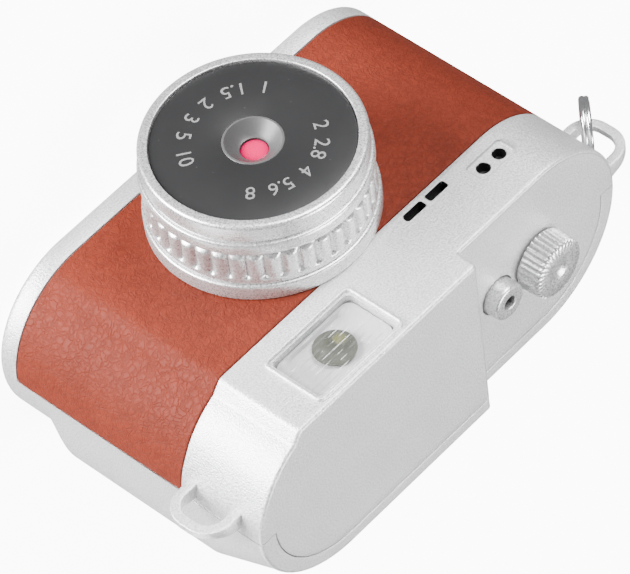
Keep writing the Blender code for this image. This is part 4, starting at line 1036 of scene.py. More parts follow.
def back_columns(sizes):
    """Return the back's stations from the +X end to the -X end: share of the end wall, corner angle,
    share of the rear, plan normal, the height and normal of the top line, and where the wall under the
    round edge ends."""
    corner = sizes.hump_round
    rim_straight = HALF - (RIM_DEPTH - FIT)
    fine = rim_straight / (HALF - BULGE_CORNER)
    window, window_size = size("screen_window")
    screw, _ = size("case_screw_left")
    port, port_size = size("usb_port")
    card, card_size = size("memory_card")
    edges = around_edges(window.x, window_size.x / 2 + FIT, SCREEN_POCKET_CORNER)
    edges = edges * rim_straight / (HALF - BULGE_CORNER)
    zones = [closer(size(name)[0].x * fine, KEY_ZONE) for name in ("key_up", "key_mode", "key_power")]
    for side in (-1, 1):
        zones.append(closer(side * screw.x, SCREW_ZONE))
        zones.append(closer(port.x + side * port_size.x / 2, 1.6 * MM, 0.15 * MM))
    right_straight = spread(HUMP_EDGE_X + corner + CELL, rim_straight, STEP, zones, edges)[::-1]
    left_straight = spread(-rim_straight, HUMP_END_X, STEP, zones, edges)[::-1]
    step = hump_side(corner)
    rear = np.concatenate([right_straight, step[0], left_straight])
    card_edges = around_edges(card.y, card_size.y / 2 + 2 * FIT, CARD_SLOT_CORNER)
    right_end = np.linspace(0, 1, 5)
    left_end = spread(0.0, 1.0, 0.15, (), (card_edges - BACK_EDGE_Y) / BULGE_STRAIGHT)[::-1]
    left_end = left_end[np.concatenate([[True], -np.diff(left_end) > 0.006])]
    turn = np.radians(np.concatenate([np.linspace(0, 75, 16)[1:], np.linspace(75, 90, 16)[1:-1]]))
    right = len(right_end) + len(turn)
    left = len(turn) + len(left_end)
    c = top_line(right + len(right_straight), step, len(left_straight) + left)
    c.end = np.concatenate([right_end, np.ones(len(turn) + len(rear) + len(turn)), left_end])
    c.turn = np.concatenate([0 * right_end, turn, np.full(len(rear), math.pi / 2), turn[::-1], 0 * left_end])
    c.share = np.concatenate([np.ones(right), rear / rim_straight, -np.ones(left)])
    c.side = np.sign(c.share)
    c.nx = c.side * np.cos(c.turn)
    c.ny = np.sin(c.turn)
    c.edge = sizes.edge_round
    c.wall_top = c.z - c.tz * c.edge
    c.under = c.z - WALL - 2 * FIT
    return c


def rear_pockets(x, z):
    """Return how deep the rear wall is sunk: screen, keys and screw seats."""
    middle, extent = size("screen_window")
    half = (extent.x / 2 + FIT, extent.z / 2 + FIT)
    depth = sunk(x, z, (middle.x, middle.z), half, SCREEN_POCKET_CORNER, SCREEN_POCKET_DEPTH)
    wells = [(name, KEY_WELL, KEY_WELL_DEPTH) for name in KEYS]
    wells += [(name, SCREW_WELL, SCREW_WELL_DEPTH) for name in ("case_screw_left", "case_screw_right")]
    for name, radius, deep in wells:
        middle, _ = size(name)
        depth = np.maximum(depth, well(x, z, (middle.x, middle.z), radius, deep))
    return depth


def port_pocket(x, y, grow=0.0, deeper=0.0):
    """Return how far the base is sunk for the charging port."""
    middle, extent = size("usb_port")
    half = (extent.x / 2 + FIT + grow, extent.y / 2 + FIT + grow)
    corner = extent.y / 2 - FIT + grow
    return sunk(x, y, (middle.x, middle.y), half, corner, PORT_DEPTH + deeper, 0.1 * MM)


def back_row(c, bulge, inset, height, drop):
    """Return a row of the back. Its plan grows from the rim at bulge 0 to the whole bulge at 1, is set in
    along its normal, and is moved by drop away from the raised top's side."""
    rim = RIM_DEPTH - FIT
    corner = rim + (BULGE_CORNER - rim) * bulge
    straight = FIT + (BULGE_STRAIGHT - FIT) * bulge
    x = c.share * (HALF - corner) + c.side * corner * np.cos(c.turn)
    y = BACK_EDGE_Y + (SEAM_Y + straight - BACK_EDGE_Y) * c.end + corner * np.sin(c.turn)
    y = np.maximum(y - c.ny * inset, seam_at(height) + SEAM_GAP)
    return join(x - c.nx * inset - c.tx * drop, y, height)


def back_base_rows(c, low_round):
    """Return the rows from the seam back under the base and round its edge, sunk at the port, and the rows
    of the base's inner side, which clear the port."""
    port, port_size = size("usb_port")
    lip = back_row(c, 0.0, 0.0, 0.0, c.edge)
    foot = join(foot_line(lip[:, 0]), BACK_EDGE_Y, 0.0)
    brink = back_row(c, 0.0, low_round, 0.0, c.edge)
    span = SEAM_Y + RIM_DEPTH - low_round - BACK_EDGE_Y
    edges = (around_edges(port.y, port_size.y / 2 + FIT, port_size.y / 2) - BACK_EDGE_Y) / span
    rows = []
    inner = []
    for share in spread(0.0, 1.0, 0.12, (), edges):
        row = foot + (brink - foot) * share
        over = row.copy()
        row[:, 2] += port_pocket(row[:, 0], row[:, 1])
        over[:, 2] += np.maximum(WALL, port_pocket(over[:, 0], over[:, 1], POCKET_WALL, POCKET_WALL))
        rows.append(row)
        inner.append(over)
    for sine, cosine in quarter(5):
        rows.append(back_row(c, 0.0, low_round * (1 - sine), low_round * (1 - cosine), c.edge))
    return rows, inner


def back_wall(c, bulge, height):
    """Return a row of the back's wall, sunk along Y at the rear's pockets and along X at the card's slot."""
    row = back_row(c, bulge, 0.0, height, c.edge)
    row[:, 1] -= np.where(c.turn > REAR_FACING, rear_pockets(row[:, 0], row[:, 2]), 0.0)
    card, card_size = size("memory_card")
    half = (card_size.y / 2 + 2 * FIT, card_size.z / 2 + 2 * FIT)
    place = (card.y, card.z)
    slot = sunk(row[:, 1], row[:, 2], place, half, CARD_SLOT_CORNER, CARD_SLOT_DEPTH, CARD_SLOT_EDGE)
    row[:, 0] += np.where((c.turn == 0.0) & (c.side < 0), slot, 0.0)
    return row


def back_wall_rows(c, low_round):
    """Return the wall's rows from the base up: the rim, the eased step out to the bulge, and the bulge as
    far as the slope."""
    screw, _ = size("case_screw_left")
    window, window_size = size("screen_window")
    card, card_size = size("memory_card")
    heights = spread(low_round, STEP_START, RIM_STEP, [closer(screw.z, SCREW_ZONE)])
    rows = [back_wall(c, 0.0, height) for height in heights]
    for share in np.linspace(0, 1, 10)[1:-1]:
        rows.append(back_wall(c, ease(share), STEP_START + STEP_RISE * share))
    zones = [closer(size(name)[0].z, KEY_ZONE) for name in ("key_up", "key_down", "key_mode")]
    window_edges = around_edges(window.z, window_size.z / 2 + FIT, SCREEN_POCKET_CORNER)
    card_edges = around_edges(card.z, card_size.z / 2 + 2 * FIT, CARD_SLOT_CORNER)
    heights = spread(SHELF_Z, SLOPE_Z, STEP, zones, np.concatenate([window_edges, card_edges]))
    return rows + [back_wall(c, 1.0, height) for height in heights]


def back_slope_rows(c):
    """Return the rows of the slope, on which the bulge draws in to the rim, and the height where it ends.
    It follows a top line that rises smoothly beside the raised top, and starts over the recess."""
    top_x = back_row(c, 0.0, 0.0, 0.0, 0.0)[:, 0]
    eased_top = PLATE_Z + HUMP_RISE * ease((top_x - HUMP_EDGE_X) / HUMP_BLEND + 0.5)
    start = eased_top - SLOPE_HEIGHT - SLOPE_END
    stop = np.minimum(np.minimum(eased_top - SLOPE_END, c.z - SLOPE_END), c.wall_top - 0.05 * MM)
    heights = [RECESS_HIGH + 0 * start, RECESS_HIGH + CELL + 0 * start]
    for share in np.linspace(0, 1, 12):
        heights.append(np.maximum(start + (stop - start) * share, RECESS_HIGH + 2 * CELL))
    shares = [np.clip((height - start) / (stop - start), 0.0, 1.0) for height in heights]
    rows = [back_row(c, 1.0 - share, 0.0, height, c.edge) for share, height in zip(shares, heights)]
    return rows, stop


def back_rim_rows(c, roll):
    """Return the rows round the edge over the wall, along the rim to the top plate, and down its edge."""
    rows = [back_row(c, 0.0, 0.0, c.wall_top, c.edge)]
    for sine, cosine in quarter(5):
        lift = c.edge * (1 - sine)
        rows.append(back_row(c, 0.0, c.edge * (1 - cosine), c.z - c.tz * lift, lift))
    over = (math.pi / 2 - c.turn) / (math.pi / 2)
    along = np.where(over > 0.0, c.side * HALF, c.share * SLAB_STRAIGHT)
    edge_x, edge_y, edge_nx, edge_ny = slab_edge(along, over, FIT)
    edge_y = np.maximum(edge_y, TOP_SEAM_Y + SEAM_GAP)
    near = back_row(c, 0.0, c.edge, c.z, 0.0)
    far = join(edge_x + edge_nx * roll, edge_y + edge_ny * roll, c.z)
    rows += [near + (far - near) * share for share in np.linspace(0, 1, 5)]
    for sine, cosine in quarter(3):
        reach = roll * (1 - sine)
        rows.append(join(edge_x + edge_nx * reach, edge_y + edge_ny * reach, c.z - roll * (1 - cosine)))
    return rows + [join(edge_x, edge_y, c.z - roll), join(edge_x, edge_y, c.under)]


def back_skin(sizes):
    """Skin the back shell. Each station round its plan is one closed ring: from the seam back under the
    base, up the wall, where the plan grows from rim to bulge and back again, over the rim to the top
    plate's edge, and home along the inner side."""
    c = back_columns(sizes)
    rows, inner_base = back_base_rows(c, sizes.base_round)
    rows += back_wall_rows(c, sizes.base_round)
    slope, slope_stop = back_slope_rows(c)
    rows += slope + back_rim_rows(c, sizes.seam_round)
    inner = [(0.0, np.minimum(c.under - FIT, slope_stop)), (1.0, SLOPE_Z), (1.0, SHELF_Z)]
    inner += [(0.0, STEP_START), (0.0, WALL)]
    rows += [back_row(c, bulge, WALL, height, c.edge) for bulge, height in inner]
    rows += inner_base[::-1]
    rows += [join(rows[0][:, 0], BACK_EDGE_Y - TONGUE, height) for height in (WALL - FIT, FIT)]
    return loft("back_skin", np.stack(rows, axis=1), caps=True)


def leather_wrap(sizes):
    """Wrap the leatherette round the front: at each station of the plan one closed section, a strip with
    round outer edges set in along the plan's normal. Its foot follows the plain arc, its head the bevel."""
    straight = np.linspace(FRONT_STRAIGHT, -FRONT_STRAIGHT, 60)
    c = front_plan(bevelled_end(0.75 * MM, 0.55 * MM), straight, np.radians(np.linspace(88, 0, 40)))
    thick = 0.5 * MM
    low, high = LEATHER_LOW.z, LEATHER_HIGH.z
    corners = [(thick, low), (0.0, low), (0.0, high), (thick, high)]
    section = rounded(corners, [0.0, sizes.leather_round, sizes.leather_round, 0.0], steps=7)
    inset, height = section[None, :, 0], section[None, :, 1]
    share = (height - low) / (high - low)

    def between(foot, head):
        return foot[:, None] * (1 - share) + head[:, None] * share

    x = between(c.arc_x, c.x) - between(c.arc_nx, c.nx) * inset
    y = between(c.arc_y, c.y) - between(c.arc_ny, c.ny) * inset
    return loft("leather_wrap", join(x, np.minimum(y, FRONT_EDGE_Y), height), caps=True, sharp=50.0)


def lens_span(node):
    """Return how far in front of the front wall a lens node starts and ends, and its radius."""
    low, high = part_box(node)
    return FRONT_Y - high.y, FRONT_Y - low.y, (high - low).x / 2


def lens_base():
    """Turn the lens's foot ring."""
    _, _, radius = lens_span("lens_base")
    low = 0.05 * MM
    high = 1.75 * MM
    bore = radius - 2.6 * MM
    corners = [(bore, low), (radius, low), (radius, high), (bore, high)]
    profile = rounded(corners, np.array([0.05, 0.12, 0.3, 0.05]) * MM)
    return turned("lens_base_ring", LENS_FOOT, "-Y", profile)


def lens_grip(sizes):
    """Turn the grip ring with its ribs: over each rib's share u from -1 to 1 the radius gives way by flute
    depth times |u|^2.4, so a rib is a round pillar, and the pillars round off under the head."""
    low, high, radius = lens_span("lens_grip_ring")
    depth = sizes.flute_depth
    bore = 8.75 * MM
    band = 0.55 * MM
    crown = high - 0.55 * MM
    window = np.linspace(low + band, low + 2 * band, 9)
    rise = np.concatenate([window, np.linspace(low + 2.2 * band, high, 18)])
    side = np.stack([0 * rise + radius, rise], axis=-1)
    corners = [(bore, low), (radius, low), (radius, low + 0.6 * band)]
    foot = rounded(corners, [0.05 * MM, 0.12 * MM, 0.0], False)
    profile = np.concatenate([foot, side, [(radius - 0.6 * MM, high), (bore, high)]])

    def flute(angle, height, reach):
        share = np.abs((sizes.flutes * angle / math.pi) % 2.0 - 1.0)
        outside = reach > radius - 0.1 * MM
        foot_window = ease((height - low - band) / (0.4 * MM))
        head = ease((height - crown) / (0.4 * MM))
        valley = depth * share**2.4 * foot_window
        return np.where(outside, valley + (depth - valley) * head, 0.0)

    return turned("lens_grip", LENS_FOOT, "-Y", profile, sizes.flutes * 18, flute, 40.0)


def lens_bezel():
    """Turn the front ring: a bead over the grip, a groove, and a rim with a round lip round the disc."""
    low, high, radius = lens_span("lens_bezel")
    bore = 8.7 * MM
    disc_radius = size("lens_disc")[1].x / 2 + FIT
    groove = low + 1.35 * MM
    rim = radius - 0.25 * MM
    ledge = high - 0.75 * MM
    corners = [
        (bore, low),
        (radius, low),
        (radius, groove),
        (rim - 0.15 * MM, groove + 0.05 * MM),
        (rim - 0.15 * MM, groove + 0.2 * MM),
        (rim, groove + 0.3 * MM),
        (rim, high),
        (disc_radius, high),
        (disc_radius, ledge),
        (bore, ledge),
    ]
    radii = np.array([0.05, 0.35, 0.45, 0.05, 0.05, 0.2, 0.45, 0.12, 0.05, 0.05]) * MM
    return turned("lens_rim", LENS_FOOT, "-Y", rounded(corners, radii, steps=8), 160)


def lens_disc():
    """Turn the black disc with its eye."""
    low, high, radius = lens_span("lens_disc")
    eye = size("lens_cone")[1].x / 2
    corners = [(eye, low), (radius, low), (radius, high), (eye, high)]
    return turned("lens_face", LENS_FOOT, "-Y", rounded(corners, 0.05 * MM, steps=3), 160)


def lens_cone():
    """Turn the cone round the front element: a flat lip, a curved slope and a short throat."""
    low, high, radius = lens_span("lens_cone")
    throat = size("lens_pupil")[1].x / 2 + 0.05 * MM
    floor = high - 1.2 * MM
    share = np.linspace(0, 1, 14)
    lip = radius - 0.22 * MM
    slope = np.stack([throat + (lip - throat) * share, floor + (high - floor) * share**1.25], axis=-1)
    around = np.array([(radius - 0.05 * MM, high), (radius, high - 0.05 * MM), (radius, low), (throat, low)])
    return turned("lens_cup", LENS_FOOT, "-Y", np.concatenate([slope, around]), 96)


def lens_pupil():
    """Turn the front element: a dome that falls with the square of the radius."""
    low, high, radius = lens_span("lens_pupil")
    share = np.linspace(0, 1, 16)
    dome = np.stack([radius * share, high - 0.2 * MM * share**2], axis=-1)
    profile = np.concatenate([dome, [(radius, low), (0.0, low)]])
    return turned("lens_glass", LENS_FOOT, "-Y", profile, 64)


def number_arc(words, middle, outward, radius, height):
    """Return a mesh of plain numbers bent round the lens axis: along the line becomes angle, up becomes
    radius. Outward numbers stand with their heads away from the axis and run clockwise."""
    curve = bpy.data.curves.new("number_line", "FONT")
    curve.body = words
    curve.size = height
    curve.align_x = "CENTER"
    curve.extrude = 0.006 * MM
    line = shown("number_line", curve)
    bpy.context.view_layer.update()
    mesh = bpy.data.meshes.new_from_object(line.evaluated_get(bpy.context.evaluated_depsgraph_get()))
    bpy.data.objects.remove(line)
    flat = np.zeros(len(mesh.vertices) * 3, np.float32)
    mesh.vertices.foreach_get("co", flat)
    flat = flat.reshape(-1, 3).astype(float)
    turn = -1.0 if outward else 1.0
    angle = middle + turn * flat[:, 0] / radius
    reach = radius - turn * (flat[:, 1] - 0.35 * height)
    _, front, _ = lens_span("lens_disc")
    bent = join(
        LENS_X + reach * np.cos(angle),
        FRONT_Y - front - 0.008 * MM - flat[:, 2],
        LENS_Z + reach * np.sin(angle),
    )
    mesh.vertices.foreach_set("co", bent.astype(np.float32).ravel())
    return mesh


def lens_numbers(sizes):
    """Set two arcs of plain numbers on the disc, one over and one under its eye."""
    shape = bmesh.new()
    arcs = (("2  2.8  4  5.6  8", 92.0, True), ("1  1.5  2  3  5  10", 272.0, False))
    for words, middle, outward in arcs:
        mesh = number_arc(words, math.radians(middle), outward, 6.1 * MM, sizes.number_height)
        shape.from_mesh(mesh)
        bpy.data.meshes.remove(mesh)
    mesh = bpy.data.meshes.new("lens_numbers")
    settle(shape, mesh)
    return shown("lens_numbers", mesh)


def frame_rings(middle, steps):
    """Return rings of a round-cornered rectangle in the front plane: each step gives width, height, corner
    and depth along Y, and a ring of no size closes in a pole."""
    rings = []
    for width, height, corner, y in steps:
        x, z = width / 2, height / 2
        outline = rounded([(x, z), (-x, z), (-x, -z), (x, -z)], corner, steps=9)
        rings.append(join(middle.x + outline[:, 0], y, middle.z + outline[:, 1]))
    return np.stack(rings)


def flash_frame():
    """Ring the flash with a raised bead: a half-round ridge outside, then a step down to the pane. The ridge
    rises by the square root of a parabola across it."""
    middle, extent = flash_place("flash_border")
    low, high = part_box("flash_border")
    ridge = 0.42 * MM
    wide = 0.6 * MM
    share = np.linspace(0, 1, 11)
    lift = 0.06 * MM
    rise = lift + (high.y - low.y - lift) * np.sqrt(np.clip(4 * share * (1 - share), 0, 1))
    ledge = high.y + 0.1 * MM
    back = high.y + 0.5 * MM
    outer_corner = 0.9 * MM
    inset = np.concatenate([[0.0], ridge * share, [ridge, wide, wide]])
    y = np.concatenate([[high.y], high.y - rise, [ledge, ledge, back]])
    corner = np.maximum(outer_corner - inset, 0.4 * MM)
    steps = [(extent.x - 2 * i, extent.z - 2 * i, c, place) for i, c, place in zip(inset, corner, y)]
    steps.append((extent.x, extent.z, outer_corner, back))
    return loft("flash_bead", frame_rings(middle, steps), wrap=True, sharp=50.0)


def flash_pane(sizes):
    """Rib the flash window: stations along X, each a closed section with a waved front and a flat back.
    The front gives way by the rib height times 1 - |sine|, with half a turn to each rib."""
    middle, extent = flash_place("flash_window")
    corner = 0.5 * MM
    reach = extent.x / 2
    bend = np.linspace(0, math.pi / 2, 8)
    station = np.concatenate([reach - corner + corner * np.cos(bend), np.linspace(reach - corner, 0, 6)[1:]])
    station = np.concatenate([station, -station[::-1][1:]])
    over = np.clip(np.abs(station) - (reach - corner), 0, corner - 0.001 * MM)
    half = extent.z / 2 - corner + np.sqrt(corner**2 - over**2)
    up = np.linspace(-1, 1, sizes.pane_ribs * 10 + 1)
    z = middle.z + half[:, None] * up[None, :]
    wave = np.abs(np.sin(sizes.pane_ribs * math.pi * (z - middle.z + extent.z / 2) / extent.z))
    front = join(middle.x + station[:, None], FRONT_Y - 0.1 * MM + sizes.pane_rib_height * (1 - wave), z)
    back = join(middle.x + station[:, None], FRONT_Y + 0.05 * MM, z[:, ::-1])
    return loft("flash_pane", np.concatenate([front, back], axis=1), caps=True, sharp=25.0)


def flash_tray():
    """Dish the flash's reflector: a floor, sloped sides, a lip and a plain back."""
    middle, extent = flash_place("flash_tray")
    low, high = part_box("flash_tray")
    corner = 1.1 * MM
    floor = min(high.y - 0.25 * MM, FRONT_Y + 0.95 * MM)
    steps = [
        (0.0, 0.0, 0.0, floor),
        (extent.x - 3.2 * MM, extent.z - 0.9 * MM, 0.6 * MM, floor),
        (extent.x - 2.6 * MM, extent.z - 0.75 * MM, 0.8 * MM, floor - 0.15 * MM),
        (extent.x - 0.5 * MM, extent.z - 0.5 * MM, corner, low.y),
        (extent.x, extent.z, corner, low.y),
        (extent.x, extent.z, corner, high.y),
        (0.0, 0.0, 0.0, high.y),
    ]
    return loft("flash_reflector", frame_rings(middle, steps))


def flash_led():
    """Turn the flash's emitter: a flat ring with a low dome, which falls with the square of the radius."""
    middle = size("flash_led")[0] + LED_SHIFT
    _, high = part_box("flash_led")
    radius = 2.0 * MM
    tall = high.y - FRONT_Y - 0.4 * MM
    share = np.linspace(0, 1, 10)
    dome = np.stack([0.62 * radius * share, tall - 0.12 * MM * share**2], axis=-1)
    rim = tall - 0.14 * MM
    neck = 0.82 * radius
    ring = [(0.66 * radius, rim), (radius, rim), (neck, rim - 0.5 * MM), (neck, 0.0), (0.0, 0.0)]
    return turned("flash_emitter", (middle.x, high.y, middle.z), "-Y", np.concatenate([dome, ring]), 64)


def dial(sizes):
    """Turn the dial: a dimpled top, a chamfer and a toothed side, where the radius gives way by tooth depth
    times w^0.8, and w is a wave from 0 to 1 for each tooth."""
    middle, extent = size("mode_dial")
    _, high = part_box("mode_dial")
    radius = extent.x / 2
    foot = PLATE_Z + 0.15 * MM
    rise = np.linspace(foot + 0.12 * MM, high.z - 0.3 * MM, 16)
    draft = 0.12 * MM
    taper = radius - draft * (rise - foot) / (high.z - foot)
    side = np.stack([taper, rise], axis=-1)[::-1]
    top = radius - draft
    head = [
        (0.0, high.z - 0.28 * MM),
        (0.55 * MM, high.z - 0.26 * MM),
        (0.82 * MM, high.z - 0.05 * MM),
        (1.0 * MM, high.z),
        (top - 0.42 * MM, high.z - 0.03 * MM),
        (top - 0.12 * MM, high.z - 0.14 * MM),
    ]
    stem = 1.0 * MM
    end = PLATE_Z - 1.1 * MM
    under = [(radius - 0.15 * MM, foot), (stem, foot), (stem, end), (0.0, end)]
    profile = np.concatenate([head, side, under])

    def tooth(angle, height, reach):
        wave = 0.5 - 0.5 * np.cos(sizes.teeth * angle)
        window = ease((reach - radius + 0.65 * MM) / (0.45 * MM)) * ease((height - foot) / (0.12 * MM))
        return sizes.tooth_depth * wave**0.8 * window

    return turned("dial", (middle.x, middle.y, 0.0), "Z", profile, sizes.teeth * 12, tooth, 45.0)


def shutter():
    """Turn the shutter button: a deep eye, a round lip, a plain side and a narrower stem."""
    middle, _ = size("shutter_button")
    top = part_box("shutter_button")[1].z
    radius = 1.85 * MM
    eye = 0.72 * MM
    eye_floor = top - 1.0 * MM
    stem = 1.5 * MM
    skirt = PLATE_Z - 0.25 * MM
    end = PLATE_Z - 0.65 * MM
    corners = [(0.0, eye_floor), (eye, eye_floor), (eye, top), (radius, top)]
    corners += [(radius, skirt), (stem, skirt), (stem, end), (0.0, end)]
    radii = np.array([0.0, 0.1, 0.12, 0.32, 0.05, 0.0, 0.0, 0.0]) * MM
    profile = rounded(corners, radii, False, 7)
    across, height = profile.T
    # Painted shade: the eye's wall and floor get the bore mark and turn near black
    bore = (across < eye + 0.02 * MM) & (height < top - 0.16 * MM) & (height > PLATE_Z)
    return turned("shutter", (middle.x, middle.y, 0.0), "Z", profile, 80, bore=bore)


def key(name):
    """Turn a rear key: a shallow dish in its head, a round lip, a plain side and a narrower stem."""
    middle, _ = size(name)
    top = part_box(name)[1].y
    radius = 1.5 * MM
    rim = 0.8 * radius
    stem = 1.2 * MM
    skirt = BULGE_Y - 0.45 * MM
    foot = BULGE_Y - 0.75 * MM
    share = np.linspace(0, 1, 8)
    dish = np.stack([rim * share, top - 0.1 * MM * (1 - share**2)], axis=-1)
    corners = [(rim, top), (radius, top), (radius, skirt), (stem, skirt), (stem, foot), (0.0, foot)]
    side = rounded(corners, [0.0, 0.25 * MM, 0.05 * MM, 0.0, 0.0, 0.0], False, 7)
    return turned(name + "_cap", (middle.x, 0.0, middle.z), "Y", np.concatenate([dish, side]), 64)


def screen_pane():
    """Ring the screen's glass: a bevelled edge round a flat face."""
    middle, extent = size("screen_window")
    low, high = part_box("screen_window")
    corner = 1.4 * MM
    steps = [
        (0.0, 0.0, 0.0, high.y),
        (extent.x - 0.5 * MM, extent.z - 0.5 * MM, corner - 0.25 * MM, high.y),
        (extent.x, extent.z, corner, high.y - 0.18 * MM),
        (extent.x, extent.z, corner, low.y),
        (0.0, 0.0, 0.0, low.y),
    ]
    return loft("screen_pane", frame_rings(middle, steps), sharp=20.0)


def strap_lug(name, side):
    """Carry a round-cornered section along a strap lug's path: out from the case, round two corners and
    back. The section lies across the path and along Y."""
    middle, extent = size(name)
    low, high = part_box(name)
    bar = 0.95 * MM
    outer = 2.6 * MM
    reach = max(abs(low.x), abs(high.x)) - bar / 2
    half = extent.z / 2 - bar / 2
    bend = outer - bar / 2
    turn = np.radians(np.linspace(-90, 0, 12))
    root = HALF - 0.6 * MM
    corner_x = reach - bend + bend * np.cos(turn)
    corner_z = -half + bend + bend * np.sin(turn)
    path_x = np.concatenate([[root], corner_x, corner_x[::-1], [root]])
    path_z = np.concatenate([[-half], corner_z, -corner_z[::-1], [half]])
    normal_x = np.concatenate([[0.0], np.cos(turn), np.cos(turn)[::-1], [0.0]])
    normal_z = np.concatenate([[-1.0], np.sin(turn), -np.sin(turn)[::-1], [1.0]])
    a, b = bar / 2, extent.y / 2
    section = rounded([(a, b), (-a, b), (-a, -b), (a, -b)], 0.22 * MM, steps=6)
    x = path_x[:, None] + normal_x[:, None] * section[None, :, 0]
    z = path_z[:, None] + normal_z[:, None] * section[None, :, 0]
    thin = 1.0 - 0.6 * ease((path_x - root) / (reach - root))[:, None]
    rings = join(side * x, low.y + (section[None, :, 1] + b) * thin, middle.z + z)
    return loft(name + "_loop", rings, caps=True)


def split_ring():
    """Wind the split ring: a wire round a circle for just under two turns, which crosses from one side of
    the ring's middle plane to the other over the last part of its first turn."""
    joint = next(joint for joint in frame["joints"] if joint["name"] == "ring_run")
    axis = Vector(joint["axis"]).normalized()
    middle, _ = size("split_ring")
    along = np.array(axis)
    out = np.array(axis.orthogonal().normalized())
    up = np.cross(along, out)
    radius = 2.9 * MM
    wire = 0.265 * MM
    apart = 0.24 * MM
    cross = math.radians(36)
    turn = np.linspace(0.0, 2 * math.tau - cross - 0.06, 150)
    offset = apart * (2 * ease((turn - math.tau + cross) / cross) - 1)
    ray = np.cos(turn)[:, None] * out + np.sin(turn)[:, None] * up
    path = np.array(middle) + ray * radius + offset[:, None] * along
    angle = np.linspace(0.0, math.tau, 16, endpoint=False)
    section = np.cos(angle)[None, :, None] * ray[:, None, :] + np.sin(angle)[None, :, None] * along
    return loft("ring_wire", path[:, None, :] + wire * section, caps=True)


def silver(colours):
    """Return the case's paint."""
    return finish("silver_paint", silver_paint, colours.silver, 0.62, 0.34, 0.02 * MM)


def lens_silver(colours):
    """Return the shinier paint of the turned pieces."""
    return finish("lens_silver", silver_paint, colours.silver, 0.78, 0.25, 0.004 * MM)


class FrontSkin(bpy.types.Operator):
    """Skin the front shell with its top plate."""

    bl_idname = "thumb_camera.front_skin"
    bl_label = "Front skin"

    def execute(self, context):
        sizes, colours = context.scene.thumb_sizes, context.scene.thumb_colours
        dress(front_skin(sizes), "body", "silver_paint", silver(colours), "front_shell")
        return {"FINISHED"}


class BackSkin(bpy.types.Operator):
    """Skin the back shell with its rim."""

    bl_idname = "thumb_camera.back_skin"
    bl_label = "Back skin"

    def execute(self, context):
        sizes, colours = context.scene.thumb_sizes, context.scene.thumb_colours
        dress(back_skin(sizes), "body", "silver_paint", silver(colours), "back_shell")
        return {"FINISHED"}


class Leather(bpy.types.Operator):
    """Wrap the leatherette round the front."""

    bl_idname = "thumb_camera.leather"
    bl_label = "Leatherette"

    def execute(self, context):
        sizes, colours = context.scene.thumb_sizes, context.scene.thumb_colours
        material = finish("red_leatherette", leatherette, colours.leather, sizes.grain)
        dress(leather_wrap(sizes), "body", "red_leatherette", material, "leather_left", "leather_right")
        return {"FINISHED"}


class LensStack(bpy.types.Operator):
    """Turn the lens from its foot ring out to the front element."""

    bl_idname = "thumb_camera.lens_stack"
    bl_label = "Lens"

    def execute(self, context):
        sizes, colours = context.scene.thumb_sizes, context.scene.thumb_colours
        dress(lens_base(), "body", "silver_paint", lens_silver(colours), "lens_base")
        dress(lens_grip(sizes), "grip", "silver_paint", lens_silver(colours), "lens_grip_ring")
        dress(lens_bezel(), "body", "silver_paint", lens_silver(colours), "lens_bezel")
        black = finish("lens_black", lens_face, colours.disc)
        dress(lens_disc(), "body", "black_plastic", black, "lens_disc")
        grey = finish("cone_grey", moulded, (0.06, 0.06, 0.06), 0.42)
        dress(lens_cone(), "body", "grey_plastic", grey, "lens_cone")
        glass = finish("coated_glass", coated_glass, colours.pupil)
        dress(lens_pupil(), "body", "coated_glass", glass, "lens_pupil")
        dress(lens_numbers(sizes), "body", "grey_plastic", finish("number_ink", ink, colours.numbers))
        return {"FINISHED"}


class Flash(bpy.types.Operator):
    """Make the flash's bead, ribbed pane, reflector and emitter."""

    bl_idname = "thumb_camera.flash"
    bl_label = "Flash"

    def execute(self, context):
        sizes, colours = context.scene.thumb_sizes, context.scene.thumb_colours
        dress(flash_frame(), "body", "silver_paint", silver(colours), "flash_border")
        pane, pane_size = flash_place("flash_window")
        low = pane.z - pane_size.z / 2
        clear = finish("clear_plastic", clear_plastic, low, pane_size.z / sizes.pane_ribs)
        dress(flash_pane(sizes), "body", "clear_plastic", clear, "flash_window")
        white = finish("reflector_white", moulded, (0.42, 0.42, 0.42), 0.35)
        dress(flash_tray(), "body", "white_plastic", white, "flash_tray")
        middle = size("flash_led")[0] + LED_SHIFT + PHOSPHOR_SHIFT
        phosphor = finish("led_phosphor", led_phosphor, middle.x, middle.z)
        dress(flash_led(), "body", "led_phosphor", phosphor, "flash_led")
        return {"FINISHED"}


class TopControls(bpy.types.Operator):
    """Turn the dial and the shutter button."""

    bl_idname = "thumb_camera.top_controls"
    bl_label = "Top controls"

    def execute(self, context):
        sizes, colours = context.scene.thumb_sizes, context.scene.thumb_colours
        dress(dial(sizes), "dial", "silver_paint", lens_silver(colours), "mode_dial")
        dress(shutter(), "shutter", "silver_paint", lens_silver(colours), "shutter_button")
        return {"FINISHED"}


class BackControls(bpy.types.Operator):
    """Make the screen's glass and the rear keys."""

    bl_idname = "thumb_camera.back_controls"
    bl_label = "Back controls"

    def execute(self, context):
        glass = finish("screen_glass", screen_glass)
        dress(screen_pane(), "body", "screen_glass", glass, "screen_window")
        for name, body in KEYS.items():
            black = finish("key_black", moulded, (0.03, 0.03, 0.032), 0.4)
            dress(key(name), body, "black_plastic", black, name)
        return {"FINISHED"}


class LugsAndRing(bpy.types.Operator):
    """Bend the strap lugs and wind the split ring."""

    bl_idname = "thumb_camera.lugs_and_ring"
    bl_label = "Lugs and ring"

    def execute(self, context):
        colours = context.scene.thumb_colours
        for name, side in (("strap_lug_left", 1), ("strap_lug_right", -1)):
            dress(strap_lug(name, side), "body", "silver_paint", silver(colours), name)
        dress(split_ring(), "ring", "bright_steel", finish("bright_steel", bright_steel), "split_ring")
        return {"FINISHED"}


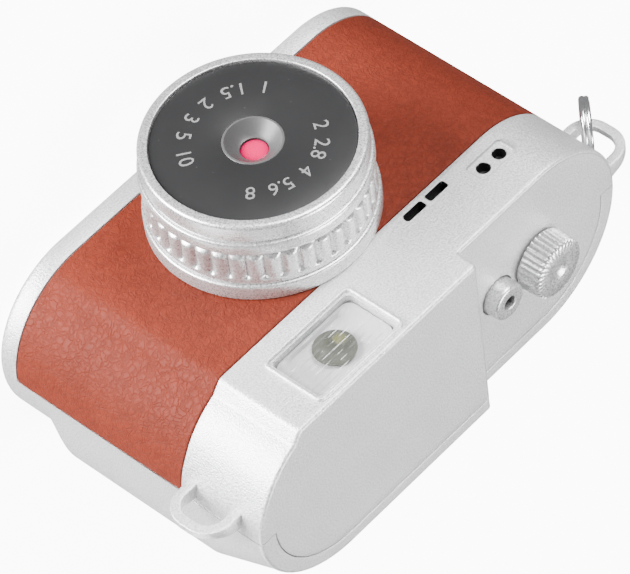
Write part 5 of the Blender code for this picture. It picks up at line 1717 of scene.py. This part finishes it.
class Inside(bpy.types.Operator):
    """Finish the solids that keep their own shape: fasteners, ports, boards and what they carry."""

    bl_idname = "thumb_camera.inside"
    bl_label = "Inside pieces"

    def execute(self, context):
        boards = ("main_board", "top_board", "flash_board", "sensor_board")
        steel = ("case_screw_left", "case_screw_right", "usb_port", "card_socket", "dial_clip")
        black = ("speaker", "microphone", "camera_module", "lens_nut", "display_panel", "memory_card")
        black += ("shutter_switch",)
        grey = tuple(name for name in frame["nodes"] if name.startswith("key_") and name.endswith("_switch"))
        for names, recipe, values in (
            (boards, board_green, ()),
            (steel, bright_steel, ()),
            (black, moulded, ((0.04, 0.04, 0.042), 0.45)),
            (grey, moulded, ((0.15, 0.15, 0.15), 0.5)),
            (("camera_flex",), moulded, ((0.5, 0.24, 0.05), 0.4)),
            (("battery",), moulded, ((0.5, 0.51, 0.53), 0.35)),
        ):
            for name in names:
                material = finish(name + "_finish", recipe, *values)
                for slot in frame["nodes"][name].material_slots:
                    slot.material = material
        return {"FINISHED"}


def floor_paper(desk):
    """White light-table paper with a faint tooth."""
    tooth = noise(desk, 2.0 * MM)
    return {
        "Base Color": blend(desk, tooth, (0.88, 0.88, 0.88, 1.0), (0.92, 0.92, 0.92, 1.0)),
        "Roughness": 0.9,
        "Emission Color": (1.0, 1.0, 1.0, 1.0),
        "Emission Strength": 9.0,
    }


def paper_floor():
    """Lay one wide sheet that glows, throws no shadow and isn't mirrored."""
    mesh = bpy.data.meshes.new("floor")
    corners = [(x * FLOOR_REACH, y * FLOOR_REACH, 0.0) for x, y in ((-1, -1), (1, -1), (1, 1), (-1, 1))]
    mesh.from_pydata(corners, [], [(0, 1, 2, 3)])
    mesh.materials.append(finish("floor_paper", floor_paper))
    floor = shown("floor", mesh)
    floor.location.z = -FLOOR_DROP
    floor.visible_diffuse = False
    floor.visible_glossy = False
    floor.visible_shadow = False
    return floor


def studio_sky():
    """Return even white surroundings."""
    world = bpy.data.worlds.new("studio")
    world.use_nodes = True
    sky = world.node_tree.nodes["Background"]
    sky.inputs["Color"].default_value = (1.0, 1.0, 1.0, 1.0)
    sky.inputs["Strength"].default_value = SKY_STRENGTH
    return world


def soft_light(name, place, width, power):
    """Add a square area light at a place, turned to the middle of the case."""
    light = bpy.data.lights.new(name, "AREA")
    light.energy = power
    light.size = width
    lamp = shown(name, light)
    lamp.location = place
    lamp.rotation_mode = "QUATERNION"
    lamp.rotation_quaternion = (Vector(LIGHT_AIM) - Vector(place)).to_track_quat("-Z", "Y")


def photo_view():
    """Return a camera at the photograph's place. It looks from eye to target, and its right and up are the
    level and upright directions across that line, turned by the roll."""
    camera = bpy.data.cameras.new("photo_view")
    camera.lens = LENS_LENGTH
    camera.sensor_width = SENSOR_WIDTH
    camera.sensor_fit = "HORIZONTAL"
    camera.clip_start = 0.01
    camera.clip_end = 20.0
    forward = (TARGET - EYE).normalized()
    level = forward.cross(Vector((0.0, 0.0, 1.0))).normalized()
    upright = level.cross(forward)
    right = level * math.cos(ROLL) + upright * math.sin(ROLL)
    up = upright * math.cos(ROLL) - level * math.sin(ROLL)
    turn = Matrix((right, up, -forward)).transposed().to_4x4()
    view = shown("photo_view", camera)
    view.matrix_world = Matrix.Translation(EYE) @ turn
    return view


class Stage(bpy.types.Operator):
    """Lay the floor, set the lights and put the camera at the photograph's place."""

    bl_idname = "thumb_camera.stage"
    bl_label = "Stage"

    def execute(self, context):
        floor = paper_floor()
        context.scene.world = studio_sky()
        for name, (place, width, power) in SOFT_BOXES.items():
            soft_light(name, place, width, power)
        context.scene.camera = photo_view()
        return {"FINISHED"}


OPERATORS = (
    FrontSkin, BackSkin, Leather, LensStack, Flash, TopControls, BackControls, LugsAndRing, Inside, Stage,
)


class ThumbCameraPanel(bpy.types.Panel):
    """List the sizes, the colours and the makers of the pieces."""

    bl_idname = "VIEW3D_PT_thumb_camera"
    bl_label = "Thumb Camera"
    bl_space_type = "VIEW_3D"
    bl_region_type = "UI"
    bl_category = "Thumb Camera"

    def draw(self, context):
        for group in (context.scene.thumb_sizes, context.scene.thumb_colours):
            column = self.layout.column()
            for name in group.__annotations__:
                column.prop(group, name)
        for operator in OPERATORS:
            self.layout.operator(operator.bl_idname)


CLASSES = (ThumbCameraSizes, ThumbCameraColours, *OPERATORS, ThumbCameraPanel)


def register():
    """Register the classes and give the scene its sizes and colours."""
    for entry in CLASSES:
        bpy.utils.register_class(entry)
    bpy.types.Scene.thumb_sizes = bpy.props.PointerProperty(type=ThumbCameraSizes)
    bpy.types.Scene.thumb_colours = bpy.props.PointerProperty(type=ThumbCameraColours)


def unregister():
    """Take the sizes and colours off the scene and unregister the classes."""
    del bpy.types.Scene.thumb_colours
    del bpy.types.Scene.thumb_sizes
    for entry in reversed(CLASSES):
        bpy.utils.unregister_class(entry)


def main():
    """Build every piece and the stage."""
    register()
    bpy.ops.thumb_camera.front_skin()
    bpy.ops.thumb_camera.back_skin()
    bpy.ops.thumb_camera.leather()
    bpy.ops.thumb_camera.lens_stack()
    bpy.ops.thumb_camera.flash()
    bpy.ops.thumb_camera.top_controls()
    bpy.ops.thumb_camera.back_controls()
    bpy.ops.thumb_camera.lugs_and_ring()
    bpy.ops.thumb_camera.inside()
    bpy.ops.thumb_camera.stage()


if __name__ == "__main__":
    main()
